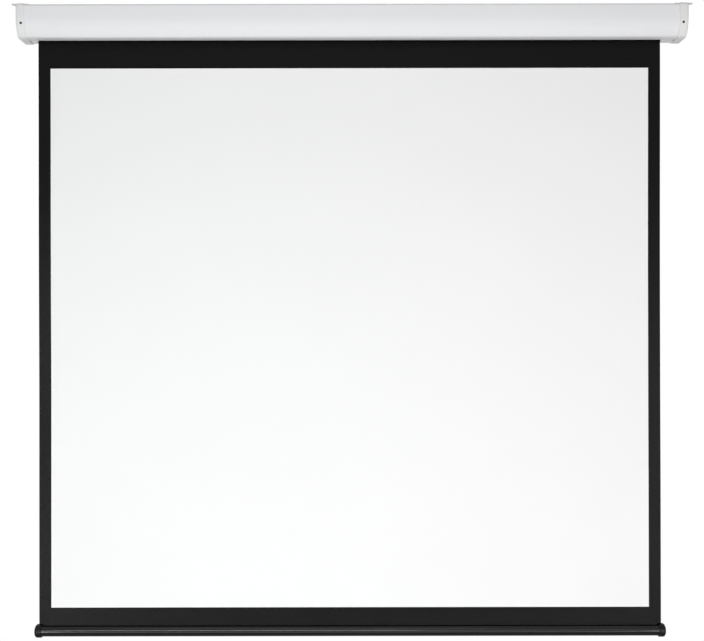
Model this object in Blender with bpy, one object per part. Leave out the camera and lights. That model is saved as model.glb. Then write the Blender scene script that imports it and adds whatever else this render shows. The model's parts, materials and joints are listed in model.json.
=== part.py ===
"""Motorized projection screen, let down, as an assembly of its separate pieces.

Metres, +Z up, the front faces -Y. The origin is the middle of the case's flat back at the height of the
roller's axis, so the wall behind the case is the plane y = 0. The motor is at the +X end.
"""

import math

import bmesh
import bpy
from mathutils import Vector

for leftover in list(bpy.data.objects):
    bpy.data.objects.remove(leftover)

# Sheet: white area and printed black surround
SHEET_WIDTH = 1.8000
SIDE_BORDER = 0.0350
WHITE_HEIGHT = 1.5605
BLACK_BELOW_WHITE = 0.0510
BLACK_ABOVE_WHITE = 0.0790  # seen below the case when the sheet is let down
SHEET_THICK = 0.0005
IDLER_MARGIN = 0.0475  # from the sheet's edge to the outer face of the end cap
MOTOR_MARGIN = 0.0645

# Case extrusion
CASE_DEPTH = 0.0880
CASE_HEIGHT = 0.0918
AXIS_BELOW_TOP = 0.0448
CASE_WALL = 0.0015
FRONT_UPRIGHT = 0.0368  # height of the upper front before it starts to lean back
FRONT_CURVE = 0.0850
TOP_FRONT_ROUND = 0.0080
BOTTOM_FRONT_ROUND = 0.0130
BOTTOM_BACK_ROUND = 0.0130
TOP_BACK_ROUND = 0.0030
SHEET_TO_WALL = 0.0340  # from the back of the case to the plane of the sheet
SLOT_WIDTH = 0.0140
SLOT_LIP = 0.0060
SLOT_LIP_EDGE = 0.0006
PORT_BORE = 0.0021  # radius of the screw ports that run along the case
PORT_WALL = 0.0014
PORT_MOUTH = math.radians(35)
TOP_PORT_FROM_FRONT = 0.0190
PORT_STAND_OFF = 0.0004  # case's inner face to the bore of a screw port

# End caps, with the case's end and the steel bracket inside
CAP_WIDTH = 0.0250
CAP_WALL = 0.0022
CAP_EDGE_ROUND = 0.0050
CAP_RIM_BREAK = 0.0005
CASE_IN_CAP = 0.0030
FIT = 0.0003  # usual gap between two pieces
BRACKET_THICK = 0.0020
FLANGE_LENGTH = 0.0105
FLANGE_WIDTH = 0.0200
TOP_FLANGE_MARGIN = 0.0040
CAP_SCREW_BELOW_AXIS = 0.0100
CAP_SCREW_BOSS = 0.0046
CAP_SCREW_HEAD = 0.0034
CAP_SCREW_SUNK = 0.0016  # depth of the seat of the cap's screw
SCREW_HEAD_HEIGHT = 0.0019
SCREW_SHANK = 0.0018
SCREW_POINT = 0.0015
SCREW_TIP_SHARE = 0.35
PAN_HEAD = ((1.0, 0.55), (0.75, 0.85), (0.3, 1.0))  # shares of a screw head's height and radius
SCREW_BEYOND_PLATE = 0.0020
COUNTERSUNK_HEAD = 0.0036
BRACKET_SCREW_LENGTH = 0.0120
CUT_PAST = 0.0010  # how far a cutting solid reaches past what it cuts

# Hanger plates on top of the caps
HANGER_THICK = 0.0025
EAR_REACH = 0.0180
INNER_TAB_REACH = 0.0085
EAR_DEPTH = 0.0200
EAR_TIP_DEPTH = 0.0090
EAR_CORNER = 0.0030
EAR_HOLE = 0.0032
EAR_HOLE_FROM_FRONT = 0.0080
HANGER_WAIST_INSET = 0.0020
HANGER_FRONT_SETBACK = 0.0165
HANGER_BACK_SETBACK = 0.0060
HANGER_SCREW_SPACING = 0.0300

# Roller
TUBE_RADIUS = 0.0190
TUBE_WALL = 0.0012
TUBE_OVERHANG = 0.0070  # tube beyond the edge of the sheet, at each end
GROOVE_MOUTH = 0.0024
GROOVE_WIDTH = 0.0046
GROOVE_DEPTH = 0.0028
GROOVE_LIP = 0.0014
SAFETY_TURNS = 1.25  # wound turns that stay on the roller when the sheet is let down
TURN_GAP = 0.0006
PLUG_LENGTH = 0.0180
PLUG_RIM = 0.0016
PLUG_FLANGE = 0.0020
PLUG_LAP = 0.0010  # a plug's body runs this far into its own flange
HUB_WALL = 0.0035
CROWN_LENGTH = 0.0120
IDLER_PIN_RADIUS = 0.0050
PIN_TAIL = 0.0020
PIN_BEVEL = 0.0008
BUSH_WALL = 0.0020
BUSH_FLANGE = 0.0015
BUSH_FLANGE_REACH = 0.0030

# Tubular motor
MOTOR_RADIUS = 0.0125
MOTOR_LENGTH = 0.3300
GEARBOX_LENGTH = 0.0900
MOTOR_JOINT = 0.0008
MOTOR_NOSE_RADIUS = 0.0070
MOTOR_NOSE_LENGTH = 0.0020
HEAD_RADIUS = 0.0190
HEAD_NOSE_RADIUS = 0.0150
HEAD_NOSE_LENGTH = 0.0020
HEAD_BEVEL = 0.0010
SHAFT_RADIUS = 0.0040
SHAFT_LENGTH = 0.0260
SHAFT_TIP = 0.0040  # shaft beyond the drive wheel
SPOKES = 6
SPOKE_WIDTH = 0.0022
MOUNT_PIN_SIDE = 0.0100
MOUNT_PIN_BEYOND_BRACKET = 0.0085
MOUNT_FLANGE_RADIUS = 0.0140
MOUNT_FLANGE_THICK = 0.0020
SPLIT_PIN_RADIUS = 0.0011
SPLIT_PIN_EYE = 0.0036
SPLIT_PIN_PLAY = 0.0020
SPLIT_PIN_FOOT = 0.0045
SPLIT_PIN_NECK = 0.0012
LIMIT_SCREW_RADIUS = 0.0027
LIMIT_SCREW_LENGTH = 0.0080
LIMIT_SCREW_PROUD = 0.0012
LIMIT_SCREW_SPACING = 0.0100
LIMIT_SCREW_BEVEL = 0.0004
SOCKET_RADIUS = 0.0017
SOCKET_DEPTH = 0.0028

# Bottom bar
BAR_RADIUS = 0.0160
BAR_WALL = 0.0016
BAR_SLOT = 0.0034
BAR_TUBE_OVERHANG = 0.0015
BAR_CAP_RADIUS = 0.0192
BAR_CAP_REACH = 0.0115  # bar cap beyond the edge of the sheet
BAR_CAP_LENGTH = 0.0200
BAR_CAP_DOME = 0.0080
BAR_CAP_FLAT = 0.0086  # radius of the flat in the middle of the dome
BAR_CAP_BEVEL = 0.0006
BAR_CAP_SLIT_BELOW_TOP = 0.0080
HEM_ROD_RADIUS = 0.0035

# Mains inlet and remote control receiver
GLAND_BORE = 0.0036
GLAND_NECK_WALL = 0.0016
GLAND_RADIUS = 0.0070
GLAND_LENGTH = 0.0110
GLAND_BEVEL = 0.0015
GLAND_NUT_RADIUS = 0.0095
GLAND_NUT_THICK = 0.0035
GLAND_BELOW_TOP = 0.0160
GLAND_FROM_WALL = 0.0160
RECEIVER_LENGTH = 0.1100
RECEIVER_DEPTH = 0.0200
RECEIVER_HEIGHT = 0.0280
RECEIVER_LID = 0.0060
RECEIVER_STEP = 0.0010
RECEIVER_BEVEL = 0.0004
RECEIVER_ABOVE_AXIS = 0.0040
RECEIVER_FROM_CASE_END = 0.1200

CIRCLE = 40
MEDIUM_CIRCLE = 24
SMALL_CIRCLE = 16
SCREW_CIRCLE = 12
MERGE = 1e-6  # points closer than this are one

# Places that follow from the sizes
CASE_TOP = AXIS_BELOW_TOP
CASE_BOTTOM = CASE_TOP - CASE_HEIGHT
SHEET_Y = -SHEET_TO_WALL
OVERALL_LENGTH = SHEET_WIDTH + IDLER_MARGIN + MOTOR_MARGIN
LEFT_END = -OVERALL_LENGTH / 2
RIGHT_END = OVERALL_LENGTH / 2
SHEET_LEFT = LEFT_END + IDLER_MARGIN
SHEET_RIGHT = RIGHT_END - MOTOR_MARGIN
SLOT_FRONT = SHEET_Y - SLOT_WIDTH / 2
SLOT_BACK = SHEET_Y + SLOT_WIDTH / 2
WHITE_TOP = CASE_BOTTOM - BLACK_ABOVE_WHITE
WHITE_BOTTOM = WHITE_TOP - WHITE_HEIGHT
BAR_TOP = WHITE_BOTTOM - BLACK_BELOW_WHITE
BAR_Z = BAR_TOP - BAR_RADIUS
TURN_PITCH = SHEET_THICK + TURN_GAP
WOUND_RADIUS = TUBE_RADIUS + FIT + SAFETY_TURNS * TURN_PITCH + SHEET_THICK / 2
AXIS_Y = SHEET_Y - WOUND_RADIUS
CASE_END = OVERALL_LENGTH / 2 - CAP_WIDTH + CASE_IN_CAP
BRACKET_INNER = CASE_END + FIT
BRACKET_OUTER = BRACKET_INNER + BRACKET_THICK
CAP_INNER_END = OVERALL_LENGTH / 2 - CAP_WALL
CAP_PROUD = FIT + CAP_WALL
TUBE_LEFT = SHEET_LEFT - TUBE_OVERHANG
TUBE_RIGHT = SHEET_RIGHT + TUBE_OVERHANG


def material(name, colour, roughness, metallic=0.0):
    """A Principled material; colour is linear red, green, blue."""
    made = bpy.data.materials.new(name)
    made.use_nodes = True
    shader = made.node_tree.nodes["Principled BSDF"]
    shader.inputs["Base Color"].default_value = (*colour, 1.0)
    shader.inputs["Roughness"].default_value = roughness
    shader.inputs["Metallic"].default_value = metallic
    made.diffuse_color = (*colour, 1.0)
    return made


WHITE_PAINT = material("white_paint", (0.74, 0.75, 0.77), 0.35)
WHITE_PLASTIC = material("white_plastic", (0.72, 0.73, 0.74), 0.45)
WHITE_STEEL = material("white_steel", (0.62, 0.63, 0.65), 0.40)
ZINC_STEEL = material("zinc_steel", (0.55, 0.55, 0.53), 0.35, 1.0)
BRIGHT_STEEL = material("bright_steel", (0.62, 0.62, 0.62), 0.25, 1.0)
BLACK_STEEL = material("black_steel", (0.030, 0.030, 0.032), 0.45, 0.6)
ALUMINIUM = material("aluminium", (0.72, 0.72, 0.73), 0.40, 1.0)
BLACK_METAL = material("black_metal", (0.018, 0.018, 0.020), 0.30, 0.5)
BLACK_PLASTIC = material("black_plastic", (0.014, 0.014, 0.015), 0.40)
GREY_PLASTIC = material("grey_plastic", (0.20, 0.20, 0.21), 0.50)
NATURAL_PLASTIC = material("natural_plastic", (0.68, 0.67, 0.62), 0.50)
YELLOW_PLASTIC = material("yellow_plastic", (0.70, 0.48, 0.05), 0.45)
WHITE_SHEET = material("white_sheet", (0.80, 0.80, 0.80), 0.90)
BLACK_SHEET = material("black_sheet", (0.016, 0.016, 0.018), 0.85)


def finish(name, bm, look, smooth_below=math.radians(35)):
    """Turns a bmesh into the named object of one sub-part."""
    bmesh.ops.remove_doubles(bm, verts=bm.verts, dist=MERGE)
    bmesh.ops.recalc_face_normals(bm, faces=bm.faces)
    mesh = bpy.data.meshes.new(name)
    bm.to_mesh(mesh)
    bm.free()
    mesh.shade_smooth()
    mesh.set_sharp_from_angle(angle=smooth_below)
    made = bpy.data.objects.new(name, mesh)
    bpy.context.scene.collection.objects.link(made)
    if look:
        mesh.materials.append(look)
    return made


def along(axis, first, second, third):
    """A point of a flat outline (first, second) at distance third along the axis it is extruded on."""
    if axis == "X":
        return Vector((third, first, second))
    if axis == "Y":
        return Vector((first, third, second))
    return Vector((first, second, third))


def prism(bm, outline, low, high, axis="X", holes=()):
    """A flat outline with holes, extruded from low to high along an axis."""
    loops = [outline, *holes]
    edges = []
    for loop in loops:
        points = [bm.verts.new(along(axis, u, v, low)) for u, v in loop]
        for i, point in enumerate(points):
            edges.append(bm.edges.new((point, points[(i + 1) % len(points)])))
    filled = bmesh.ops.triangle_fill(bm, use_beauty=True, use_dissolve=False, edges=edges)
    faces = [item for item in filled["geom"] if isinstance(item, bmesh.types.BMFace)]
    swept = bmesh.ops.extrude_face_region(bm, geom=faces)
    moved = [item for item in swept["geom"] if isinstance(item, bmesh.types.BMVert)]
    bmesh.ops.translate(bm, verts=moved, vec=along(axis, 0, 0, high - low))
    return bm


def turned(bm, profile, centre, axis="X", segments=CIRCLE):
    """Spins a profile of (distance along the axis, radius) points about that axis through centre."""
    frames = {"X": (Vector((1, 0, 0)), Vector((0, 0, 1))),
              "Y": (Vector((0, 1, 0)), Vector((0, 0, 1))),
              "Z": (Vector((0, 0, 1)), Vector((1, 0, 0)))}
    direction, outward = frames[axis]
    centre = Vector(centre)
    points = [bm.verts.new(centre + direction * s + outward * r) for s, r in profile]
    edges = [bm.edges.new(pair) for pair in zip(points, points[1:])]
    if min(r for _, r in profile) > 0:
        edges.append(bm.edges.new((points[-1], points[0])))
    bmesh.ops.spin(bm, geom=edges, cent=centre, axis=direction, dvec=(0, 0, 0),
                   angle=math.tau, steps=segments, use_merge=True)
    bmesh.ops.remove_doubles(bm, verts=bm.verts, dist=MERGE)
    return bm


def circle(u, v, radius, segments=SMALL_CIRCLE, turn=0.0):
    """Points of a circle in the plane of a flat outline; turn is a share of one step."""
    angles = [math.tau * (i + turn) / segments for i in range(segments)]
    return [(u + radius * math.cos(a), v + radius * math.sin(a)) for a in angles]


def rectangle(u0, u1, v0, v1):
    return [(u0, v0), (u1, v0), (u1, v1), (u0, v1)]


def arc(u, v, radius, start, end, steps):
    """Points on an arc, both ends included; angles in degrees."""
    angles = [math.radians(start + (end - start) * i / steps) for i in range(steps + 1)]
    return [(u + radius * math.cos(a), v + radius * math.sin(a)) for a in angles]


def tool(name, bm):
    """A hidden solid that a Boolean adds or takes away."""
    made = finish(name, bm, None)
    made.hide_render = True
    made.display_type = "WIRE"
    return made


def combine(piece, other, operation):
    boolean = piece.modifiers.new(other.name, "BOOLEAN")
    boolean.operation = operation
    boolean.object = other
    boolean.solver = "EXACT"


def cut(piece, other):
    combine(piece, other, "DIFFERENCE")


def add(piece, other):
    combine(piece, other, "UNION")


FRONT_BREAK = CASE_TOP - FRONT_UPRIGHT
LEAN = math.degrees(math.asin((FRONT_BREAK - BOTTOM_FRONT_ROUND - CASE_BOTTOM)
                              / (FRONT_CURVE - BOTTOM_FRONT_ROUND)))


def front_y(z):
    """The case's front face at height z, below the upright part."""
    return FRONT_CURVE - CASE_DEPTH - math.sqrt(FRONT_CURVE**2 - (FRONT_BREAK - z) ** 2)


def case_arcs(offset):
    """The case's five rounded corners in (y, z), from the underside over the front and top to the back."""
    inset = FRONT_CURVE - BOTTOM_FRONT_ROUND
    lean = math.radians(LEAN)
    low_y = FRONT_CURVE - CASE_DEPTH - inset * math.cos(lean)
    low_z = FRONT_BREAK - inset * math.sin(lean)
    return [
        arc(low_y, low_z, BOTTOM_FRONT_ROUND + offset, 270, 180 + LEAN, 8),
        arc(FRONT_CURVE - CASE_DEPTH, FRONT_BREAK, FRONT_CURVE + offset, 180 + LEAN, 180, 12)[1:],
        arc(TOP_FRONT_ROUND - CASE_DEPTH, CASE_TOP - TOP_FRONT_ROUND, TOP_FRONT_ROUND + offset, 180, 90, 8),
        arc(-TOP_BACK_ROUND, CASE_TOP - TOP_BACK_ROUND, TOP_BACK_ROUND + offset, 90, 0, 4),
        arc(-BOTTOM_BACK_ROUND, CASE_BOTTOM + BOTTOM_BACK_ROUND, BOTTOM_BACK_ROUND + offset, 0, -90, 8),
    ]


def case_outline(offset, back=0.0):
    """The closed outline of the case moved out by offset, and kept flat at y = back."""
    return [(min(y, back), z) for corner in case_arcs(offset) for y, z in corner]


PORT_DEPTH = PORT_BORE + PORT_STAND_OFF  # from the case's inner face to the middle of a screw port
FLOOR_FRONT = case_arcs(0)[0][0][0]  # where the flat of the underside ends at the front
PORTS = {
    "top_front": (-CASE_DEPTH + TOP_PORT_FROM_FRONT, CASE_TOP - CASE_WALL - PORT_DEPTH),
    "top_back": (-TOP_PORT_FROM_FRONT, CASE_TOP - CASE_WALL - PORT_DEPTH),
    "low_front": ((FLOOR_FRONT + SLOT_FRONT - CASE_WALL) / 2, CASE_BOTTOM + CASE_WALL + PORT_DEPTH),
}


def port_path(name):
    """The inner face's way round one screw port: a C open to the inside of the case."""
    y, z = PORTS[name]
    turn = 180 if z > 0 else 0
    outer = PORT_BORE + PORT_WALL
    foot = math.degrees(math.asin(PORT_DEPTH / outer))
    mouth = math.degrees(PORT_MOUTH)
    path = arc(0, 0, outer, 180 + foot, 90 + mouth, 6)
    path += arc(0, 0, PORT_BORE, 90 + mouth, 450 - mouth, 12)
    path += arc(0, 0, outer, 90 - mouth, -foot, 6)
    sign = -1 if turn else 1
    return [(y + sign * u, z + sign * v) for u, v in path]


def make_housing():
    low_front, face, top_front, top_back, low_back = case_arcs(-CASE_WALL)
    inside = low_back[::-1] + top_back[::-1] + port_path("top_back") + port_path("top_front")
    inside += top_front[::-1] + face[::-1] + low_front[::-1] + port_path("low_front")
    lip = CASE_BOTTOM + SLOT_LIP
    floor = CASE_BOTTOM + CASE_WALL
    edge = SLOT_LIP_EDGE
    outline = [(SLOT_FRONT, CASE_BOTTOM + edge), (SLOT_FRONT - edge, CASE_BOTTOM)]
    outline += [point for corner in case_arcs(0) for point in corner]
    outline += [(SLOT_BACK + edge, CASE_BOTTOM), (SLOT_BACK, CASE_BOTTOM + edge), (SLOT_BACK, lip - edge)]
    outline += [(SLOT_BACK + edge, lip), (SLOT_BACK + CASE_WALL, lip), (SLOT_BACK + CASE_WALL, floor)]
    outline += inside
    outline += [(SLOT_FRONT - CASE_WALL, floor), (SLOT_FRONT - CASE_WALL, lip), (SLOT_FRONT - edge, lip)]
    outline += [(SLOT_FRONT, lip - edge)]
    finish("housing_shell", prism(bmesh.new(), outline, -CASE_END, CASE_END), WHITE_PAINT)


def loft(bm, rings):
    """Skins a stack of rings with the same number of points, and closes the first and the last."""
    stack = [[bm.verts.new(point) for point in ring] for ring in rings]
    for lower, upper in zip(stack, stack[1:]):
        for i in range(len(lower)):
            j = (i + 1) % len(lower)
            bm.faces.new((lower[i], lower[j], upper[j], upper[i]))
    bm.faces.new(stack[0])
    bm.faces.new(stack[-1])
    return bm


CAP_SCREW_X = BRACKET_OUTER + FIT + CAP_SCREW_BOSS
CAP_SCREW_Z = -CAP_SCREW_BELOW_AXIS
CAP_SCREW_SEAT = front_y(CAP_SCREW_Z) - CAP_PROUD + CAP_SCREW_SUNK
FLANGE_FRONT = front_y(CAP_SCREW_Z - FLANGE_WIDTH / 2) + 2 * FIT
FLANGE_END = BRACKET_INNER + FLANGE_LENGTH
HANGER_SCREW_X = (BRACKET_OUTER + FLANGE_END) / 2
TOP_FLANGE_MIDDLE = (PORTS["top_front"][0] + PORTS["top_back"][0]) / 2
HANGER_SCREW_YS = [TOP_FLANGE_MIDDLE + side * HANGER_SCREW_SPACING / 2 for side in (-1, 1)]
TOP_FLANGE_WIDTH = HANGER_SCREW_SPACING + 2 * TOP_FLANGE_MARGIN
HANGER_LOW = CASE_TOP + CAP_PROUD + FIT
HANGER_HIGH = HANGER_LOW + HANGER_THICK
GLAND_Y = -GLAND_FROM_WALL
GLAND_Z = CASE_TOP - GLAND_BELOW_TOP
GLAND_NECK = GLAND_BORE + GLAND_NECK_WALL


def make_end_cap(side, name):
    """A moulded cap: a shell open towards the case, rounded at its outer edge; side is -1 left, 1 right."""
    rim = OVERALL_LENGTH / 2 - CAP_WIDTH
    end = OVERALL_LENGTH / 2
    rings = []

    def ring(x, offset, back):
        rings.append([(side * x, y, z) for y, z in case_outline(offset, back)])

    ring(CAP_INNER_END, FIT, -CAP_WALL)
    ring(rim, FIT, -CAP_WALL)
    ring(rim, CAP_PROUD - CAP_RIM_BREAK, 0)
    ring(rim + CAP_RIM_BREAK, CAP_PROUD, 0)
    for step in range(6):
        angle = math.radians(90 * step / 5)
        inset = CAP_EDGE_ROUND * (1 - math.cos(angle))
        ring(end - CAP_EDGE_ROUND * (1 - math.sin(angle)), CAP_PROUD - inset, -inset)
    cap = finish(name, loft(bmesh.new(), rings), WHITE_PLASTIC)

    # Half a step round, so that no edge of the boss runs through a corner of the hole in it
    boss_front = front_y(CAP_SCREW_Z) - CAP_PROUD + CAP_WALL / 2
    boss = circle(side * CAP_SCREW_X, CAP_SCREW_Z, CAP_SCREW_BOSS, turn=0.5)
    add(cap, tool(name + "_boss", prism(bmesh.new(), boss, boss_front, FLANGE_FRONT - FIT, "Y")))

    # All that is taken away, as one tool
    gone = bmesh.new()
    mouth = rectangle(-CAP_WALL - FIT, CASE_DEPTH, -CASE_HEIGHT, CASE_HEIGHT)
    low, high = sorted((side * (rim - CUT_PAST), side * (CASE_END + FIT)))
    prism(gone, mouth, low, high)
    seat = CAP_SCREW_HEAD + FIT
    bore = SCREW_SHANK + FIT
    outside = -CASE_DEPTH - 2 * CAP_PROUD
    stepped = [(outside, 0), (outside, seat), (CAP_SCREW_SEAT, seat), (CAP_SCREW_SEAT, bore),
               (FLANGE_FRONT + FIT, bore), (FLANGE_FRONT + FIT, 0)]
    turned(gone, stepped, (side * CAP_SCREW_X, 0, CAP_SCREW_Z), "Y", SMALL_CIRCLE)
    for y in HANGER_SCREW_YS:
        prism(gone, circle(side * HANGER_SCREW_X, y, bore), CASE_TOP - CUT_PAST, HANGER_LOW, "Z")
    if side > 0:
        prism(gone, circle(GLAND_Y, GLAND_Z, GLAND_NECK + FIT), CAP_INNER_END - CUT_PAST, end + CUT_PAST)
    cut(cap, tool(name + "_gone", gone))


def make_bracket(side, name, middle_hole):
    """A bent steel plate across the case's end, with one flange to the front and one to the top."""
    low, high = sorted((side * BRACKET_INNER, side * BRACKET_OUTER))
    outline = case_outline(-FIT, -CAP_WALL - FIT)
    holes = [circle(y, z, SCREW_SHANK + FIT) for y, z in PORTS.values()]
    holes.append(middle_hole)
    if side > 0:
        holes.append(circle(GLAND_Y, GLAND_Z, GLAND_NECK))
    bracket = finish(name, prism(bmesh.new(), outline, low, high, holes=holes), ZINC_STEEL)
    reach = sorted((side * (BRACKET_INNER + BRACKET_THICK / 2), side * FLANGE_END))

    half = FLANGE_WIDTH / 2
    front = rectangle(reach[0], reach[1], CAP_SCREW_Z - half, CAP_SCREW_Z + half)
    hole = circle(side * CAP_SCREW_X, CAP_SCREW_Z, SCREW_SHANK + FIT)
    front_solid = prism(bmesh.new(), front, FLANGE_FRONT, FLANGE_FRONT + BRACKET_THICK, "Y", [hole])
    add(bracket, tool(name + "_front_flange", front_solid))

    half = TOP_FLANGE_WIDTH / 2
    top = rectangle(reach[0], reach[1], TOP_FLANGE_MIDDLE - half, TOP_FLANGE_MIDDLE + half)
    holes = [circle(side * HANGER_SCREW_X, y, SCREW_SHANK + FIT) for y in HANGER_SCREW_YS]
    top_solid = prism(bmesh.new(), top, CASE_TOP - FIT - BRACKET_THICK, CASE_TOP - FIT, "Z", holes)
    add(bracket, tool(name + "_top_flange", top_solid))


def make_hanger(side, name):
    """A flat steel plate on the cap, wider at its front: an ear outside the cap and a tab over the case."""
    rim = OVERALL_LENGTH / 2 - CAP_WIDTH
    end = OVERALL_LENGTH / 2
    front = -CASE_DEPTH + HANGER_FRONT_SETBACK
    back = -HANGER_BACK_SETBACK
    waist_in = rim + HANGER_WAIST_INSET
    waist_out = end - HANGER_WAIST_INSET
    corner = end + EAR_REACH - EAR_CORNER
    outline = [(rim - INNER_TAB_REACH, front), (corner, front)]
    outline += arc(corner, front + EAR_CORNER, EAR_CORNER, -90, 0, 5)[1:]
    outline += [(end + EAR_REACH, front + EAR_TIP_DEPTH), (waist_out, front + EAR_DEPTH)]
    outline += [(waist_out, back), (waist_in, back), (waist_in, front + EAR_DEPTH)]
    outline += [(rim - INNER_TAB_REACH, front + EAR_TIP_DEPTH)]
    hole = circle(end + EAR_REACH / 2, front + EAR_HOLE_FROM_FRONT, EAR_HOLE)
    loops = [[(side * x, y) for x, y in loop] for loop in (outline, hole)]
    solid = prism(bmesh.new(), loops[0], HANGER_LOW, HANGER_HIGH, "Z", loops[1:])
    plate = finish(name, solid, WHITE_STEEL)
    for row, y in enumerate(HANGER_SCREW_YS):
        centre = (side * HANGER_SCREW_X, y, HANGER_HIGH)
        sink = turned(bmesh.new(), countersink(FIT, HANGER_THICK + FIT), centre, "Z", SCREW_CIRCLE)
        cut(plate, tool(f"{name}_countersink_{row}", sink))


def countersink(gap, length):
    """Profile of a flat head screw, or with a gap of the hole for one, down from the head's top."""
    head = COUNTERSUNK_HEAD + gap
    shank = SCREW_SHANK + gap
    neck = -FIT - head + shank
    return [(gap, 0), (gap, head), (-FIT, head), (neck, shank), (-length, shank), (-length, 0)]


def make_screw(name, seat, axis, sign, length, look=BLACK_STEEL):
    """A pan head screw: seat is where the head rests, sign the way from the seat to the head's top."""
    profile = [(SCREW_HEAD_HEIGHT, 0)]
    profile += [(high * SCREW_HEAD_HEIGHT, wide * CAP_SCREW_HEAD) for high, wide in PAN_HEAD]
    profile += [(0, CAP_SCREW_HEAD), (0, SCREW_SHANK), (-length + SCREW_POINT, SCREW_SHANK)]
    profile += [(-length, SCREW_SHANK * SCREW_TIP_SHARE), (-length, 0)]
    turned_solid = turned(bmesh.new(), [(sign * s, r) for s, r in profile], seat, axis, SCREW_CIRCLE)
    finish(name, turned_solid, look)


GROOVE_ANGLE = math.tau * SAFETY_TURNS  # the inner end of the wound turns sits over the groove
GROOVE_TOP = TUBE_RADIUS - GROOVE_LIP
GROOVE_FLOOR = GROOVE_TOP - GROOVE_DEPTH
RIB_HALF = GROOVE_WIDTH / 2 + TUBE_WALL
RIB_BOTTOM = GROOVE_FLOOR - TUBE_WALL
BORE_RADIUS = TUBE_RADIUS - TUBE_WALL
PLUG_RADIUS = BORE_RADIUS - FIT


def on_roller(points):
    """Moves an outline drawn with the groove at the top to the roller's axis, groove in its true place."""
    turn = GROOVE_ANGLE - math.pi / 2
    cosine, sine = math.cos(turn), math.sin(turn)
    return [(AXIS_Y + u * cosine - v * sine, u * sine + v * cosine) for u, v in points]


def open_circle(radius, half_gap, segments):
    """A circle left open at its top over twice half_gap."""
    gap = math.degrees(math.asin(half_gap / radius))
    return arc(0, 0, radius, 90 + gap, 450 - gap, segments)


def make_roller_tube():
    """The extruded tube: a groove with a narrow mouth takes the strip at the end of the sheet."""
    outline = open_circle(TUBE_RADIUS, GROOVE_MOUTH / 2, CIRCLE)
    outline += [(GROOVE_MOUTH / 2, GROOVE_TOP), (GROOVE_WIDTH / 2, GROOVE_TOP)]
    outline += [(GROOVE_WIDTH / 2, GROOVE_FLOOR), (-GROOVE_WIDTH / 2, GROOVE_FLOOR)]
    outline += [(-GROOVE_WIDTH / 2, GROOVE_TOP), (-GROOVE_MOUTH / 2, GROOVE_TOP)]
    bore = open_circle(BORE_RADIUS, RIB_HALF, CIRCLE) + [(RIB_HALF, RIB_BOTTOM), (-RIB_HALF, RIB_BOTTOM)]
    solid = prism(bmesh.new(), on_roller(outline), TUBE_LEFT, TUBE_RIGHT, holes=[on_roller(bore)])
    finish("roller_tube", solid, ALUMINIUM)


def make_key_strip():
    """The strip welded to the sheet's upper end, slid into the roller's groove."""
    wide = GROOVE_WIDTH / 2 - FIT
    neck = GROOVE_MOUTH / 2 - FIT
    head = GROOVE_TOP - FIT
    outline = [(-wide, GROOVE_FLOOR + FIT), (wide, GROOVE_FLOOR + FIT), (wide, head), (neck, head)]
    outline += [(neck, TUBE_RADIUS - 2 * FIT), (-neck, TUBE_RADIUS - 2 * FIT), (-neck, head), (-wide, head)]
    strip = prism(bmesh.new(), on_roller(outline), SHEET_LEFT, SHEET_RIGHT)
    finish("sheet_key_strip", strip, NATURAL_PLASTIC)


def make_wound_turns():
    """The safety turns, as one spiral ribbon from the groove to where the sheet hangs free."""
    steps = int(36 * SAFETY_TURNS)
    inner = []
    outer = []
    for i in range(steps + 1):
        angle = GROOVE_ANGLE * i / steps
        radius = WOUND_RADIUS - SHEET_THICK / 2 - TURN_PITCH * angle / math.tau
        inner.append((AXIS_Y + radius * math.cos(angle), radius * math.sin(angle)))
        radius += SHEET_THICK
        outer.append((AXIS_Y + radius * math.cos(angle), radius * math.sin(angle)))
    chord = 1 - math.cos(math.pi * SAFETY_TURNS / steps)
    gap = TURN_GAP - WOUND_RADIUS * chord
    print(f"least gap between the wound turns {gap * 1000:.2f} mm")
    finish("wound_turns", prism(bmesh.new(), outer + inner[::-1], SHEET_LEFT, SHEET_RIGHT), BLACK_SHEET)


def plug_outline(segments=CIRCLE):
    """A disc that fits the roller's bore, notched for the groove's rib."""
    rim = open_circle(PLUG_RADIUS, RIB_HALF + FIT, segments)
    return on_roller(rim + [(RIB_HALF + FIT, RIB_BOTTOM - FIT), (-RIB_HALF - FIT, RIB_BOTTOM - FIT)])


def spoke_windows(hub, rim):
    """The openings between the spokes of a plug."""
    windows = []
    for i in range(SPOKES):
        middle = 90 + 360 * (i + 0.5) / SPOKES
        half = 180 / SPOKES
        outer = half - math.degrees(math.asin(SPOKE_WIDTH / 2 / rim))
        inner = half - math.degrees(math.asin(SPOKE_WIDTH / 2 / hub))
        window = arc(0, 0, rim, middle - outer, middle + outer, 5)
        window += arc(0, 0, hub, middle + inner, middle - inner, 3)
        windows.append(on_roller(window))
    return windows


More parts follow.
